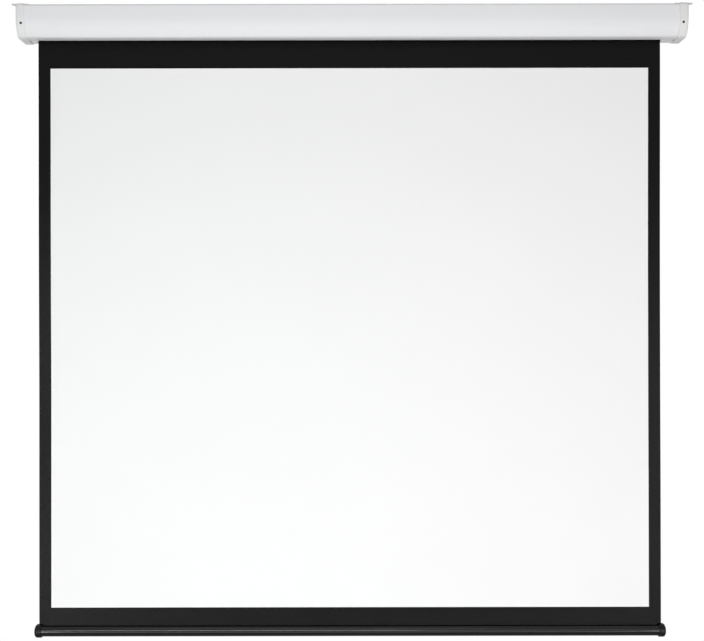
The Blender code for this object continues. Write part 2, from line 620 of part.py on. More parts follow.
WINDOW_RIM = RIB_BOTTOM - FIT - PLUG_RIM
MOTOR_RIGHT = TUBE_RIGHT + FIT + PLUG_FLANGE
MOTOR_LEFT = MOTOR_RIGHT - MOTOR_LENGTH
HEAD_LEFT = MOTOR_RIGHT + FIT
MOUNT_FLANGE_RIGHT = BRACKET_INNER - FIT
HEAD_RIGHT = MOUNT_FLANGE_RIGHT - MOUNT_FLANGE_THICK - FIT
MOUNT_PIN_END = BRACKET_OUTER + MOUNT_PIN_BEYOND_BRACKET
SPLIT_PIN_X = BRACKET_OUTER + FIT + SPLIT_PIN_RADIUS + SPLIT_PIN_PLAY
LIMIT_SCREW_LOW = -HEAD_RADIUS - LIMIT_SCREW_PROUD
LIMIT_SCREW_TOP = LIMIT_SCREW_LOW + LIMIT_SCREW_LENGTH
LIMIT_SCREWS = {
    "limit_screw_up": (HEAD_LEFT + HEAD_RIGHT) / 2 - LIMIT_SCREW_SPACING / 2,
    "limit_screw_down": (HEAD_LEFT + HEAD_RIGHT) / 2 + LIMIT_SCREW_SPACING / 2,
}
AXIS = (0, AXIS_Y, 0)


def make_drive_wheel():
    """Turned by the motor's six sided shaft; its notched rim carries the roller round."""
    right = MOTOR_LEFT - SHAFT_LENGTH + SHAFT_TIP + PLUG_LENGTH
    shaft = circle(AXIS_Y, 0, SHAFT_RADIUS + FIT, 6)
    windows = spoke_windows(SHAFT_RADIUS + FIT + HUB_WALL, WINDOW_RIM)
    solid = prism(bmesh.new(), plug_outline(), right - PLUG_LENGTH, right, holes=[shaft, *windows])
    finish("drive_wheel", solid, GREY_PLASTIC)
    shaft = circle(AXIS_Y, 0, SHAFT_RADIUS, 6)
    low = MOTOR_LEFT - SHAFT_LENGTH
    finish("drive_shaft", prism(bmesh.new(), shaft, low, MOTOR_LEFT - FIT), BRIGHT_STEEL)


def make_crown_ring():
    """Turns with the roller on the motor's neck and drives the limit counter in the head."""
    bore = circle(AXIS_Y, 0, MOTOR_RADIUS + FIT, CIRCLE)
    low, high = TUBE_RIGHT - CROWN_LENGTH, TUBE_RIGHT + PLUG_LAP
    solid = prism(bmesh.new(), plug_outline(), low, high, holes=[bore])
    ring = finish("crown_ring", solid, GREY_PLASTIC)
    flange = prism(bmesh.new(), circle(AXIS_Y, 0, TUBE_RADIUS, CIRCLE), TUBE_RIGHT + FIT, MOTOR_RIGHT,
                   holes=[bore])
    add(ring, tool("crown_ring_flange", flange))


def make_idler_end():
    """The plug, pin and bush that carry the roller at the end away from the motor."""
    bore = circle(AXIS_Y, 0, IDLER_PIN_RADIUS + FIT, MEDIUM_CIRCLE)
    windows = spoke_windows(IDLER_PIN_RADIUS + FIT + HUB_WALL, WINDOW_RIM)
    solid = prism(bmesh.new(), plug_outline(), TUBE_LEFT - PLUG_LAP, TUBE_LEFT + PLUG_LENGTH,
                  holes=[bore, *windows])
    plug = finish("idler_plug", solid, GREY_PLASTIC)
    flange_left = TUBE_LEFT - FIT - PLUG_FLANGE
    flange = prism(bmesh.new(), circle(AXIS_Y, 0, TUBE_RADIUS, CIRCLE), flange_left, TUBE_LEFT - FIT,
                   holes=[bore])
    add(plug, tool("idler_plug_flange", flange))

    left = -BRACKET_OUTER - BUSH_FLANGE - PIN_TAIL
    right = TUBE_LEFT + PLUG_LENGTH
    radius = IDLER_PIN_RADIUS
    profile = [(left, 0), (left, radius - PIN_BEVEL), (left + PIN_BEVEL, radius),
               (right - PIN_BEVEL, radius), (right, radius - PIN_BEVEL), (right, 0)]
    finish("idler_pin", turned(bmesh.new(), profile, AXIS, "X", MEDIUM_CIRCLE), BRIGHT_STEEL)

    bore_radius = IDLER_PIN_RADIUS + FIT
    barrel = bore_radius + BUSH_WALL
    flange_face = -BRACKET_INNER + FIT
    flange = barrel + BUSH_FLANGE_REACH
    profile = [(flange_face + BUSH_FLANGE, bore_radius), (flange_face + BUSH_FLANGE, flange),
               (flange_face, flange), (flange_face, barrel),
               (-BRACKET_OUTER - BUSH_FLANGE, barrel), (-BRACKET_OUTER - BUSH_FLANGE, bore_radius)]
    finish("idler_bush", turned(bmesh.new(), profile, AXIS, "X", MEDIUM_CIRCLE), NATURAL_PLASTIC)


def make_motor():
    """A slim tubular motor: head, motor case and a gearbox of the same diameter, joined at rolled seams."""
    seam = MOTOR_JOINT
    gear_right = MOTOR_LEFT + GEARBOX_LENGTH
    radius = MOTOR_RADIUS
    shoulder = MOTOR_LEFT + MOTOR_NOSE_LENGTH
    profile = [(MOTOR_LEFT, 0), (MOTOR_LEFT, MOTOR_NOSE_RADIUS), (shoulder, MOTOR_NOSE_RADIUS),
               (shoulder, radius - seam), (shoulder + seam, radius),
               (gear_right - seam, radius), (gear_right, radius - seam), (gear_right + seam, radius),
               (MOTOR_RIGHT, radius), (MOTOR_RIGHT, 0)]
    finish("motor_body", turned(bmesh.new(), profile, AXIS, "X", 36), BLACK_STEEL)

    step = HEAD_LEFT + HEAD_NOSE_LENGTH
    edge = HEAD_RADIUS - HEAD_BEVEL
    profile = [(HEAD_LEFT, 0), (HEAD_LEFT, HEAD_NOSE_RADIUS), (step, HEAD_NOSE_RADIUS), (step, edge),
               (step + HEAD_BEVEL, HEAD_RADIUS), (HEAD_RIGHT - HEAD_BEVEL, HEAD_RADIUS),
               (HEAD_RIGHT, edge), (HEAD_RIGHT, 0)]
    head = finish("motor_head", turned(bmesh.new(), profile, AXIS, "X", CIRCLE), BLACK_PLASTIC)
    for name, x in LIMIT_SCREWS.items():
        bore = circle(x, AXIS_Y, LIMIT_SCREW_RADIUS + FIT)
        bore_solid = prism(bmesh.new(), bore, -HEAD_RADIUS - CUT_PAST, LIMIT_SCREW_TOP + FIT, "Z")
        cut(head, tool(name + "_bore", bore_solid))
        make_limit_screw(name, x)

    flange = prism(bmesh.new(), circle(AXIS_Y, 0, MOUNT_FLANGE_RADIUS, 36), HEAD_RIGHT + FIT,
                   MOUNT_FLANGE_RIGHT)
    half = MOUNT_PIN_SIDE / 2
    square = rectangle(AXIS_Y - half, AXIS_Y + half, -half, half)
    pin = finish("motor_mount_pin", flange, ZINC_STEEL)
    add(pin, tool("motor_mount_square", prism(bmesh.new(), square, HEAD_RIGHT + 2 * FIT, MOUNT_PIN_END)))
    hole = circle(SPLIT_PIN_X, AXIS_Y, SPLIT_PIN_RADIUS + FIT, SCREW_CIRCLE)
    cut(pin, tool("split_pin_hole", prism(bmesh.new(), hole, -MOUNT_PIN_SIDE, MOUNT_PIN_SIDE, "Z")))


def make_limit_screw(name, x):
    """A setting screw with a six sided socket, reached from below."""
    bevel = LIMIT_SCREW_BEVEL
    low, top, radius = LIMIT_SCREW_LOW, LIMIT_SCREW_TOP, LIMIT_SCREW_RADIUS
    profile = [(top, 0), (top, radius - bevel), (top - bevel, radius), (low + bevel, radius),
               (low, radius - bevel), (low, 0)]
    look = YELLOW_PLASTIC if name.endswith("up") else WHITE_PLASTIC
    screw = finish(name, turned(bmesh.new(), profile, (x, AXIS_Y, 0), "Z", MEDIUM_CIRCLE), look)
    socket = circle(x, AXIS_Y, SOCKET_RADIUS, 6)
    cut(screw, tool(name + "_socket", prism(bmesh.new(), socket, low - CUT_PAST, low + SOCKET_DEPTH, "Z")))


def make_split_pin():
    """A wire through the mount pin, bent round into a ring at its top."""
    curve = bpy.data.curves.new("motor_split_pin", "CURVE")
    curve.dimensions = "3D"
    curve.bevel_depth = SPLIT_PIN_RADIUS
    curve.bevel_resolution = 1
    curve.use_fill_caps = True
    eye = SPLIT_PIN_EYE
    half = MOUNT_PIN_SIDE / 2
    points = [(0, -half - SPLIT_PIN_FOOT), (0, 0), (0, half + FIT)]
    middle = half + SPLIT_PIN_NECK + eye
    points += [(eye * math.sin(a), middle - eye * math.cos(a))
               for a in (math.radians(20 + 290 * i / 14) for i in range(15))]
    spline = curve.splines.new("POLY")
    spline.points.add(len(points) - 1)
    for point, (side, height) in zip(spline.points, points):
        point.co = (SPLIT_PIN_X, AXIS_Y + side, height, 1)
    pin = bpy.data.objects.new("motor_split_pin", curve)
    curve.materials.append(BRIGHT_STEEL)
    bpy.context.scene.collection.objects.link(pin)


def make_sheet():
    """The hanging sheet, from the roller to the bottom bar, white with a printed black surround."""
    top = -FIT
    front = SHEET_Y - SHEET_THICK / 2
    columns = [SHEET_LEFT, SHEET_LEFT + SIDE_BORDER, SHEET_RIGHT - SIDE_BORDER, SHEET_RIGHT]
    rows = [BAR_TOP, WHITE_BOTTOM, WHITE_TOP, top]
    bm = bmesh.new()
    grid = [[bm.verts.new((x, front, z)) for x in columns] for z in rows]
    faces = []
    for lower, upper in zip(grid, grid[1:]):
        for i in range(len(columns) - 1):
            faces.append(bm.faces.new((lower[i], lower[i + 1], upper[i + 1], upper[i])))
    swept = bmesh.ops.extrude_face_region(bm, geom=faces, use_keep_orig=True)
    moved = [item for item in swept["geom"] if isinstance(item, bmesh.types.BMVert)]
    bmesh.ops.translate(bm, verts=moved, vec=(0, SHEET_THICK, 0))
    sheet = finish("screen_sheet", bm, BLACK_SHEET)
    sheet.data.materials.append(WHITE_SHEET)
    for face in sheet.data.polygons:
        x, y, z = face.center
        inside = columns[1] < x < columns[2] and WHITE_BOTTOM < z < WHITE_TOP
        if inside and y < SHEET_Y - SHEET_THICK / 4:
            face.material_index = 1


BAR_BORE = BAR_RADIUS - BAR_WALL
LOOP_RADIUS = HEM_ROD_RADIUS + FIT + SHEET_THICK
HEM_ROD_Z = BAR_Z + BAR_BORE - FIT - LOOP_RADIUS


def on_bar(points):
    return [(SHEET_Y + u, BAR_Z + v) for u, v in points]


def make_bar():
    """The round weight tube, open along its top, and what holds the sheet in it."""
    outline = open_circle(BAR_RADIUS, BAR_SLOT / 2, CIRCLE)
    outline += open_circle(BAR_BORE, BAR_SLOT / 2, CIRCLE)[::-1]
    left = SHEET_LEFT - BAR_TUBE_OVERHANG
    right = SHEET_RIGHT + BAR_TUBE_OVERHANG
    finish("bottom_bar_tube", prism(bmesh.new(), on_bar(outline), left, right), BLACK_METAL)

    rod = prism(bmesh.new(), circle(SHEET_Y, HEM_ROD_Z, HEM_ROD_RADIUS), SHEET_LEFT, SHEET_RIGHT)
    finish("hem_rod", rod, BRIGHT_STEEL)
    gap = math.degrees(math.asin(SHEET_THICK / LOOP_RADIUS))
    loop = arc(SHEET_Y, HEM_ROD_Z, LOOP_RADIUS, 90 + gap, 450 - gap, 20)
    loop += [(SHEET_Y + SHEET_THICK, BAR_TOP - FIT), (SHEET_Y - SHEET_THICK, BAR_TOP - FIT)]
    pocket = circle(SHEET_Y, HEM_ROD_Z, HEM_ROD_RADIUS + FIT)
    finish("hem_loop", prism(bmesh.new(), loop, SHEET_LEFT, SHEET_RIGHT, holes=[pocket]), BLACK_SHEET)

    for name, edge, outward in (("bar_cap_left", SHEET_LEFT, -1), ("bar_cap_right", SHEET_RIGHT, 1)):
        make_bar_cap(name, edge, outward)


def make_bar_cap(name, edge, outward):
    """A domed cap pushed over the end of the tube, slit at its top for the sheet."""
    reach = BAR_CAP_REACH
    mouth = reach - BAR_CAP_LENGTH
    floor = BAR_TUBE_OVERHANG + FIT
    radius = BAR_CAP_RADIUS
    profile = [(floor, 0), (floor, BAR_RADIUS + FIT), (mouth, BAR_RADIUS + FIT),
               (mouth, radius - BAR_CAP_BEVEL), (mouth + BAR_CAP_BEVEL, radius)]
    for i in range(7):
        angle = math.radians(90 * i / 6)
        rise = math.sin(angle) * BAR_CAP_DOME
        ring = BAR_CAP_FLAT + (radius - BAR_CAP_FLAT) * math.cos(angle)
        profile.append((reach - BAR_CAP_DOME + rise, ring))
    profile.append((reach, 0))
    profile = [(outward * s, r) for s, r in profile]
    cap = finish(name, turned(bmesh.new(), profile, (edge, SHEET_Y, BAR_Z)), BLACK_PLASTIC)
    low, high = sorted((edge - outward * BAR_CAP_LENGTH, edge + outward * FIT))
    half = SHEET_THICK + 2 * FIT
    slit_low = BAR_Z + BAR_RADIUS - BAR_CAP_SLIT_BELOW_TOP
    slit = rectangle(SHEET_Y - half, SHEET_Y + half, slit_low, BAR_Z + BAR_CAP_RADIUS + CUT_PAST)
    cut(cap, tool(name + "_slit", prism(bmesh.new(), slit, low, high)))


def make_gland():
    """The open mains inlet in the motor side cap: a threaded sleeve and its nut."""
    end = OVERALL_LENGTH / 2
    inner_end = CAP_INNER_END - GLAND_NUT_THICK - 3 * FIT
    outer_end = end + FIT + GLAND_LENGTH - CAP_WALL
    profile = [(inner_end, GLAND_BORE), (outer_end, GLAND_BORE), (outer_end, GLAND_RADIUS - GLAND_BEVEL),
               (outer_end - GLAND_BEVEL, GLAND_RADIUS), (end + FIT, GLAND_RADIUS), (end + FIT, GLAND_NECK),
               (inner_end, GLAND_NECK)]
    gland = turned(bmesh.new(), profile, (0, GLAND_Y, GLAND_Z), "X", MEDIUM_CIRCLE)
    finish("cable_gland", gland, BLACK_PLASTIC)
    nut = circle(GLAND_Y, GLAND_Z, GLAND_NUT_RADIUS, 6)
    hole = circle(GLAND_Y, GLAND_Z, GLAND_NECK + FIT, MEDIUM_CIRCLE)
    low = CAP_INNER_END - FIT - GLAND_NUT_THICK
    finish("gland_nut", prism(bmesh.new(), nut, low, CAP_INNER_END - FIT, holes=[hole]), BLACK_PLASTIC)


def make_receiver():
    """The remote control receiver, a small box stuck to the case's back beside the motor."""
    right = CASE_END - RECEIVER_FROM_CASE_END
    left = right - RECEIVER_LENGTH
    back = -CASE_WALL - FIT
    front = back - RECEIVER_DEPTH
    low = RECEIVER_ABOVE_AXIS
    high = low + RECEIVER_HEIGHT
    lid = front + RECEIVER_LID
    step = RECEIVER_STEP
    outline = [(back, low), (lid, low), (lid, low + step), (front, low + step), (front, high - step),
               (lid, high - step), (lid, high), (back, high)]
    box = finish("receiver_box", prism(bmesh.new(), outline, left, right), BLACK_PLASTIC)
    bevel = box.modifiers.new("edges", "BEVEL")
    bevel.width = RECEIVER_BEVEL
    bevel.segments = 1


def make_end(side, word):
    """Everything at one end of the case but the roller's own bearing; side is -1 left, 1 right."""
    make_end_cap(side, "end_cap_" + word)
    make_hanger(side, "hanger_plate_" + word)
    if side < 0:
        hole = circle(AXIS_Y, 0, IDLER_PIN_RADIUS + BUSH_WALL + 2 * FIT, MEDIUM_CIRCLE)
        make_bracket(side, "idler_bracket", hole)
    else:
        half = MOUNT_PIN_SIDE / 2 + FIT
        make_bracket(side, "motor_bracket", rectangle(AXIS_Y - half, AXIS_Y + half, -half, half))

    cap_screw_length = FLANGE_FRONT + BRACKET_THICK + SCREW_BEYOND_PLATE - CAP_SCREW_SEAT
    seat = (side * CAP_SCREW_X, CAP_SCREW_SEAT - FIT, CAP_SCREW_Z)
    make_screw("cap_screw_" + word, seat, "Y", -1, cap_screw_length)
    hanger_screw_length = HANGER_HIGH - CASE_TOP + FIT + BRACKET_THICK + SCREW_BEYOND_PLATE
    for place, y in zip(("front", "back"), HANGER_SCREW_YS):
        profile = countersink(0, hanger_screw_length)
        screw = turned(bmesh.new(), profile, (side * HANGER_SCREW_X, y, HANGER_HIGH), "Z", SCREW_CIRCLE)
        finish(f"hanger_screw_{word}_{place}", screw, ZINC_STEEL)
    for place, (y, z) in PORTS.items():
        seat = (side * (BRACKET_OUTER + FIT), y, z)
        make_screw(f"bracket_screw_{word}_{place}", seat, "X", side, BRACKET_SCREW_LENGTH, ZINC_STEEL)


make_housing()
make_end(-1, "left")
make_end(1, "right")
make_roller_tube()
make_key_strip()
make_wound_turns()
make_idler_end()
make_crown_ring()
make_drive_wheel()
make_motor()
make_split_pin()
make_sheet()
make_bar()
make_gland()
make_receiver()
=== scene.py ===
# %% [markdown]
# # A motorized projector screen, let down
#
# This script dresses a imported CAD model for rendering. The CAD model is a fixed frame: every new piece is
# made where the CAD says, in metres, with the wall behind the case at y = 0 and the roller's axis at z = 0.
# The screen has a white extruded case with moulded end caps, a matt sheet with a printed black surround,
# and a round black weight bar in its hem. The motor sits inside the roller at the +X end.

# %% Load the frame
import json
import math

import bmesh
import bpy
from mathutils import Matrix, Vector

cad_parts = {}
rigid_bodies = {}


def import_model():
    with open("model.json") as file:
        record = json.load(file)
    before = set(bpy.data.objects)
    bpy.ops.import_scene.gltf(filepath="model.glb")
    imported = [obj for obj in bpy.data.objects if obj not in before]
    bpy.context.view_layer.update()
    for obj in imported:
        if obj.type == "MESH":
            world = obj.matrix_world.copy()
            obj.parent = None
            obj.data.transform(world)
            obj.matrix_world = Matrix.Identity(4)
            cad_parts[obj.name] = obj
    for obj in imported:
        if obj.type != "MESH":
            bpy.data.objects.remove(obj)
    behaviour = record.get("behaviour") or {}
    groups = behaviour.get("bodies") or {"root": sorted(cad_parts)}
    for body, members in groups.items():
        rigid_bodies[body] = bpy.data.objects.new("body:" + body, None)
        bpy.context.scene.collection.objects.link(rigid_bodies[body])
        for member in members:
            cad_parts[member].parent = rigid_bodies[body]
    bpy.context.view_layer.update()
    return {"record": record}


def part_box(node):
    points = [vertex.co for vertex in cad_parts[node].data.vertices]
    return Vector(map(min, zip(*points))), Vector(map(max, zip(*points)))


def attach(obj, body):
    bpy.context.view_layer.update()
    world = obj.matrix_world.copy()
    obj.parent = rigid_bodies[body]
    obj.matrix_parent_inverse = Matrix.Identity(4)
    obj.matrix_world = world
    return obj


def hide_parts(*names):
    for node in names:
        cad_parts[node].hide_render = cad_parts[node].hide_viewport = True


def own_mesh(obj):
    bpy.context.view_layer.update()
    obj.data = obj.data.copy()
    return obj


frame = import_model()

# %% [markdown]
# The camera stands level with the middle of the picture, 2.7 m in front of the case, and looks straight at
# the wall. Its focal length comes from the size of the case and of the sheet behind it in the photograph.
# A level camera with no shift keeps the upright edges of the sheet parallel. A roll of a tenth of a degree
# gives the slight lean that the photograph has.

# %% Camera
CAMERA_PLACE = (-0.0018, -2.788, -0.8565)
PICTURE_WIDTH = 704  # in pixels, as is the focal length
FOCAL_PIXELS = 951.0
SENSOR = 36.0  # in millimetres
ROLL = 0.09  # in degrees

lens = bpy.data.cameras.new("camera")
lens.sensor_fit = "HORIZONTAL"
lens.sensor_width = SENSOR
lens.lens = FOCAL_PIXELS / PICTURE_WIDTH * SENSOR
lens.clip_end = 60.0
camera = bpy.data.objects.new("camera", lens)
camera.location = CAMERA_PLACE
camera.rotation_euler = (math.radians(90), math.radians(ROLL), 0)
bpy.context.scene.collection.objects.link(camera)
bpy.context.scene.camera = camera
bpy.context.scene.view_settings.view_transform = "Standard"
print("lens:", round(lens.lens, 2), "mm")

# %% [markdown]
# Shaders are built from nodes, and the arithmetic between nodes reads best as arithmetic. So one small class
# wraps a node's output and turns +, - and * into Math nodes. A second class starts a material and adds any
# other node from its type, its settings and the values of its sockets.


# %% Shader helpers
class Wire:
    """The output of a shader node, which can be used in sums."""

    def __init__(self, paint, socket):
        self.paint = paint
        self.socket = socket

    def _math(self, operation, first, second):
        return self.paint.node("Math", {"operation": operation}, {0: first, 1: second})

    def __add__(self, other):
        return self._math("ADD", self, other)

    def __sub__(self, other):
        return self._math("SUBTRACT", self, other)

    def __mul__(self, other):
        return self._math("MULTIPLY", self, other)


class Paint:
    """A material on the Principled shader, with its nodes added one by one."""

    def __init__(self, name, **fixed):
        self.material = bpy.data.materials.new(name)
        self.material.use_nodes = True
        self.tree = self.material.node_tree
        self.shader = self.tree.nodes["Principled BSDF"]
        for key, value in fixed.items():
            self.shader.inputs[key.replace("_", " ")].default_value = value

    def join(self, value, socket):
        """Links a wire to the socket, or sets the socket to a plain value."""
        if isinstance(value, Wire):
            self.tree.links.new(value.socket, socket)
        else:
            socket.default_value = value

    def node(self, kind, settings=None, sockets=None, out=0):
        """Adds a node and returns one of its outputs."""
        made = self.tree.nodes.new("ShaderNode" + kind)
        for key, value in (settings or {}).items():
            setattr(made, key, value)
        for key, value in (sockets or {}).items():
            self.join(value, made.inputs[key])
        return Wire(self, made.outputs[out])

    def feed(self, **links):
        """Joins values to the shader's own sockets."""
        for key, value in links.items():
            self.join(value, self.shader.inputs[key.replace("_", " ")])
        return self.material

    def places(self, scale=(1, 1, 1)):
        """Object coordinates, stretched by scale."""
        spot = self.node("TexCoord", out="Object")
        return self.node("Mapping", None, {"Vector": spot, "Scale": scale})

    def noise(self, spot, scale, detail=2.0):
        """A soft random pattern from 0 to 1."""
        return self.node("TexNoise", None, {"Vector": spot, "Scale": scale, "Detail": detail}, out="Fac")

    def blend(self, share, first, second):
        """A mix of two colours by share."""
        made = self.tree.nodes.new("ShaderNodeMix")
        made.data_type = "RGBA"
        colours = [s for s in made.inputs if s.type == "RGBA"]
        self.join(share, made.inputs[0])
        self.join(first, colours[0])
        self.join(second, colours[1])
        return Wire(self, next(s for s in made.outputs if s.type == "RGBA"))

    def bump(self, height, distance, strength=1.0):
        """A normal that is tilted by a pattern of the given height in metres."""
        return self.node("Bump", None, {"Height": height, "Distance": distance, "Strength": strength},
                         out="Normal")


def rgb(red, green, blue):
    """A colour given in display values from 0 to 255, as the shader's linear ones."""
    def linear(value):
        value /= 255
        return value / 12.92 if value <= 0.04045 else ((value + 0.055) / 1.055) ** 2.4
    return (linear(red), linear(green), linear(blue), 1.0)


print("mid grey 128 is", round(rgb(128, 128, 128)[0], 3), "linear")

# %% [markdown]
# The photograph has a pure white ground, so the world is white to the camera and in reflections, while its
# light on the object is set by itself. The floor is 1.1 m below the bar. It keeps the screen's soft shadow,
# and fades out towards its edge so that no line shows where it ends. The camera sees it half lifted to white,
# which makes it pale without more light on the object.

# %% World and floor
WORLD_LIGHT = 0.23
FLOOR_CENTRE = (0, -0.04, -2.90)
FLOOR_RADIUS = 3.2
FLOOR_LIFT = 0.5  # how far the camera sees the floor lifted to white
FADE_START, FADE_END = 0.5, 0.98  # shares of the floor's radius

world = bpy.data.worlds.new("studio")
world.use_nodes = True
bpy.context.scene.world = world
links = world.node_tree.links
nodes = world.node_tree.nodes
nodes.clear()
output = nodes.new("ShaderNodeOutputWorld")
rays = nodes.new("ShaderNodeLightPath")
seen_or_mirrored = rays.outputs["Is Camera Ray"]
for word in ("Is Glossy Ray", "Is Transmission Ray"):
    larger = nodes.new("ShaderNodeMath")
    larger.operation = "MAXIMUM"
    links.new(seen_or_mirrored, larger.inputs[0])
    links.new(rays.outputs[word], larger.inputs[1])
    seen_or_mirrored = larger.outputs[0]
either = nodes.new("ShaderNodeMixShader")
links.new(seen_or_mirrored, either.inputs[0])
for socket, strength in ((1, WORLD_LIGHT), (2, 1.0)):
    white = nodes.new("ShaderNodeBackground")
    white.inputs["Color"].default_value = (1.0, 1.0, 1.0, 1.0)
    white.inputs["Strength"].default_value = strength
    links.new(white.outputs[0], either.inputs[socket])
links.new(either.outputs[0], output.inputs["Surface"])

bpy.ops.object.select_all(action="DESELECT")
bpy.ops.mesh.primitive_circle_add(vertices=96, radius=FLOOR_RADIUS, fill_type="NGON", location=FLOOR_CENTRE)
floor = bpy.context.object
floor.name = "floor"
bpy.ops.object.transform_apply(location=True, rotation=True, scale=True)
ground = Paint("studio_floor", Base_Color=rgb(216, 216, 216), Roughness=0.9)
centred = ground.node("VectorMath", {"operation": "SUBTRACT"},
                      {0: ground.node("TexCoord", out="Object"), 1: FLOOR_CENTRE})
distance = ground.node("VectorMath", {"operation": "LENGTH"}, {0: centred}, out="Value")
fade = ground.node("MapRange", {"interpolation_type": "SMOOTHSTEP"},
                   {"Value": distance, "From Min": FADE_START * FLOOR_RADIUS, "From Max": FADE_END * FLOOR_RADIUS})
lift = ground.node("LightPath", out="Is Camera Ray") * FLOOR_LIFT
glow = ground.node("Emission", None, {"Strength": 1.0})
lit = ground.node("MixShader", None, {0: lift, 1: Wire(ground, ground.shader.outputs[0]), 2: glow})
whole = ground.node("MixShader", None, {0: fade, 1: lit, 2: ground.node("BsdfTransparent")})
ground.join(whole, ground.tree.nodes["Material Output"].inputs["Surface"])
floor.data.materials.append(ground.material)
print("floor", FLOOR_RADIUS * 2, "m across at z", FLOOR_CENTRE[2])

# %% [markdown]
# Soft lamps light the screen. A long strip at the camera's height, more to the left, does most of the work and
# gives the round bar its thin highlight, which a weaker strip beside it carries on to the right. A wide lamp
# from above and a warm one from the right even out the case. Two upright lamps and one near the floor stand
# where the dark edges of the sheet mirror them, so those edges grow lighter towards the foot as in the
# photograph. The last one lights the top and the wall side, for views from above and behind.


# %% Lamps
def lamp(name, place, target, size, power, colour=(1.0, 1.0, 1.0)):
    """A rectangular soft lamp that faces a point."""
    light = bpy.data.lights.new(name, "AREA")
    light.shape = "RECTANGLE"
    light.size, light.size_y = size
    light.energy = power
    light.color = colour
    made = bpy.data.objects.new(name, light)
    made.location = place
    made.rotation_euler = (Vector(target) - Vector(place)).to_track_quat("-Z", "Y").to_euler()
    bpy.context.scene.collection.objects.link(made)


lamp("lamp_strip", (-0.65, -3.0, -0.91), (-0.2, 0, -1.75), (2.2, 0.16), 35.5, (0.95, 0.98, 1.0))
lamp("lamp_strip_right", (1.05, -3.0, -0.91), (0.3, 0, -1.75), (1.2, 0.16), 5)
lamp("lamp_above", (-0.3, -2.6, 1.7), (0, 0, -0.1), (2.6, 0.7), 12)
lamp("lamp_right", (2.7, -2.9, -1.2), (0.4, 0, -0.8), (1.4, 1.6), 15, (1.0, 0.9, 0.82))
lamp("lamp_left_border", (-1.9, -2.9, -2.2), (-0.9, 0, -1.5), (0.3, 1.2), 15)
lamp("lamp_right_border", (1.9, -2.9, -1.9), (0.9, 0, -1.4), (0.3, 1.8), 12)
lamp("lamp_foot", (0.0, -2.9, -2.62), (0.0, 0, -1.7), (3.4, 0.3), 18)
lamp("lamp_wall_side", (0.0, 2.2, 1.3), (0, 0, -0.4), (2.6, 1.6), 50)

# %% [markdown]
# All new pieces start from a primitive and are shaped in edit mode. These helpers do what a hand would do
# with the mouse: add a piece on its own, with its place in its mesh, go into edit mode, pick vertices or edges by
# where they are, move or extrude them, and leave edit mode again.


# %% Modelling helpers
def fresh():
    """Leaves edit mode and deselects everything, ready for a new primitive."""
    if bpy.context.object and bpy.context.object.mode != "OBJECT":
        bpy.ops.object.mode_set(mode="OBJECT")
    bpy.ops.object.select_all(action="DESELECT")


def alone(piece):
    """Selects one piece and nothing else."""
    fresh()
    bpy.context.view_layer.objects.active = piece
    piece.select_set(True)
    return piece


def started(name):
    """Names the primitive that was just added, and puts its place into its mesh."""
    piece = alone(bpy.context.object)
    bpy.ops.object.transform_apply(location=True, rotation=True, scale=True)
    piece.name = name
    piece.data.name = name
    return piece


def edit(piece):
    """Goes into edit mode with nothing selected."""
    alone(piece)
    bpy.ops.object.mode_set(mode="EDIT")
    bpy.ops.mesh.select_mode(type="VERT")
    bpy.ops.mesh.select_all(action="DESELECT")


def done():
    """Leaves edit mode."""
    bpy.ops.object.mode_set(mode="OBJECT")


def pick(piece, kind, test):
    """In edit mode, selects the verts or edges that pass the test of item and middle."""
    bpy.ops.mesh.select_mode(type={"verts": "VERT", "edges": "EDGE"}[kind])
    bpy.ops.mesh.select_all(action="DESELECT")
    mesh = bmesh.from_edit_mesh(piece.data)
    for item in getattr(mesh, kind):
        middle = item.co if kind == "verts" else (item.verts[0].co + item.verts[1].co) / 2
        if test(item, middle):
            item.select_set(True)
    mesh.select_flush_mode()
    bmesh.update_edit_mesh(piece.data)


def slide(x=0.0, y=0.0, z=0.0):
    """Moves what is selected."""
    bpy.ops.transform.translate(value=(x, y, z))


def pull(x=0.0, y=0.0, z=0.0):
    """Extrudes what is selected and moves it."""
    bpy.ops.mesh.extrude_region_move(TRANSFORM_OT_translate={"value": (x, y, z)})


def apply(piece, kind, **settings):
    """Adds a modifier, sets it and applies it."""
    alone(piece)
    modifier = piece.modifiers.new(kind.lower(), kind)
    for key, value in settings.items():
        setattr(modifier, key, value)
    bpy.ops.object.modifier_apply(modifier=modifier.name)


def smooth(piece, degrees=30):
    """Shades smooth across every edge flatter than the angle."""
    alone(piece)
    bpy.ops.object.shade_smooth_by_angle(angle=math.radians(degrees))


def outward(piece, merge=1e-6):
    """Merges doubled vertices and turns every face outwards."""
    edit(piece)
    bpy.ops.mesh.select_all(action="SELECT")
    bpy.ops.mesh.remove_doubles(threshold=merge)
    bpy.ops.mesh.normals_make_consistent(inside=False)
    done()


# %% [markdown]
# Long extruded profiles are drawn like a squeegee: one long edge lies along the piece, and is pulled and spun
# round the section, so it leaves the surface behind it. Straight stretches are extrusions, and every round
# is a spin about its own centre. The edge is what is left of a plane once its far side is gone.


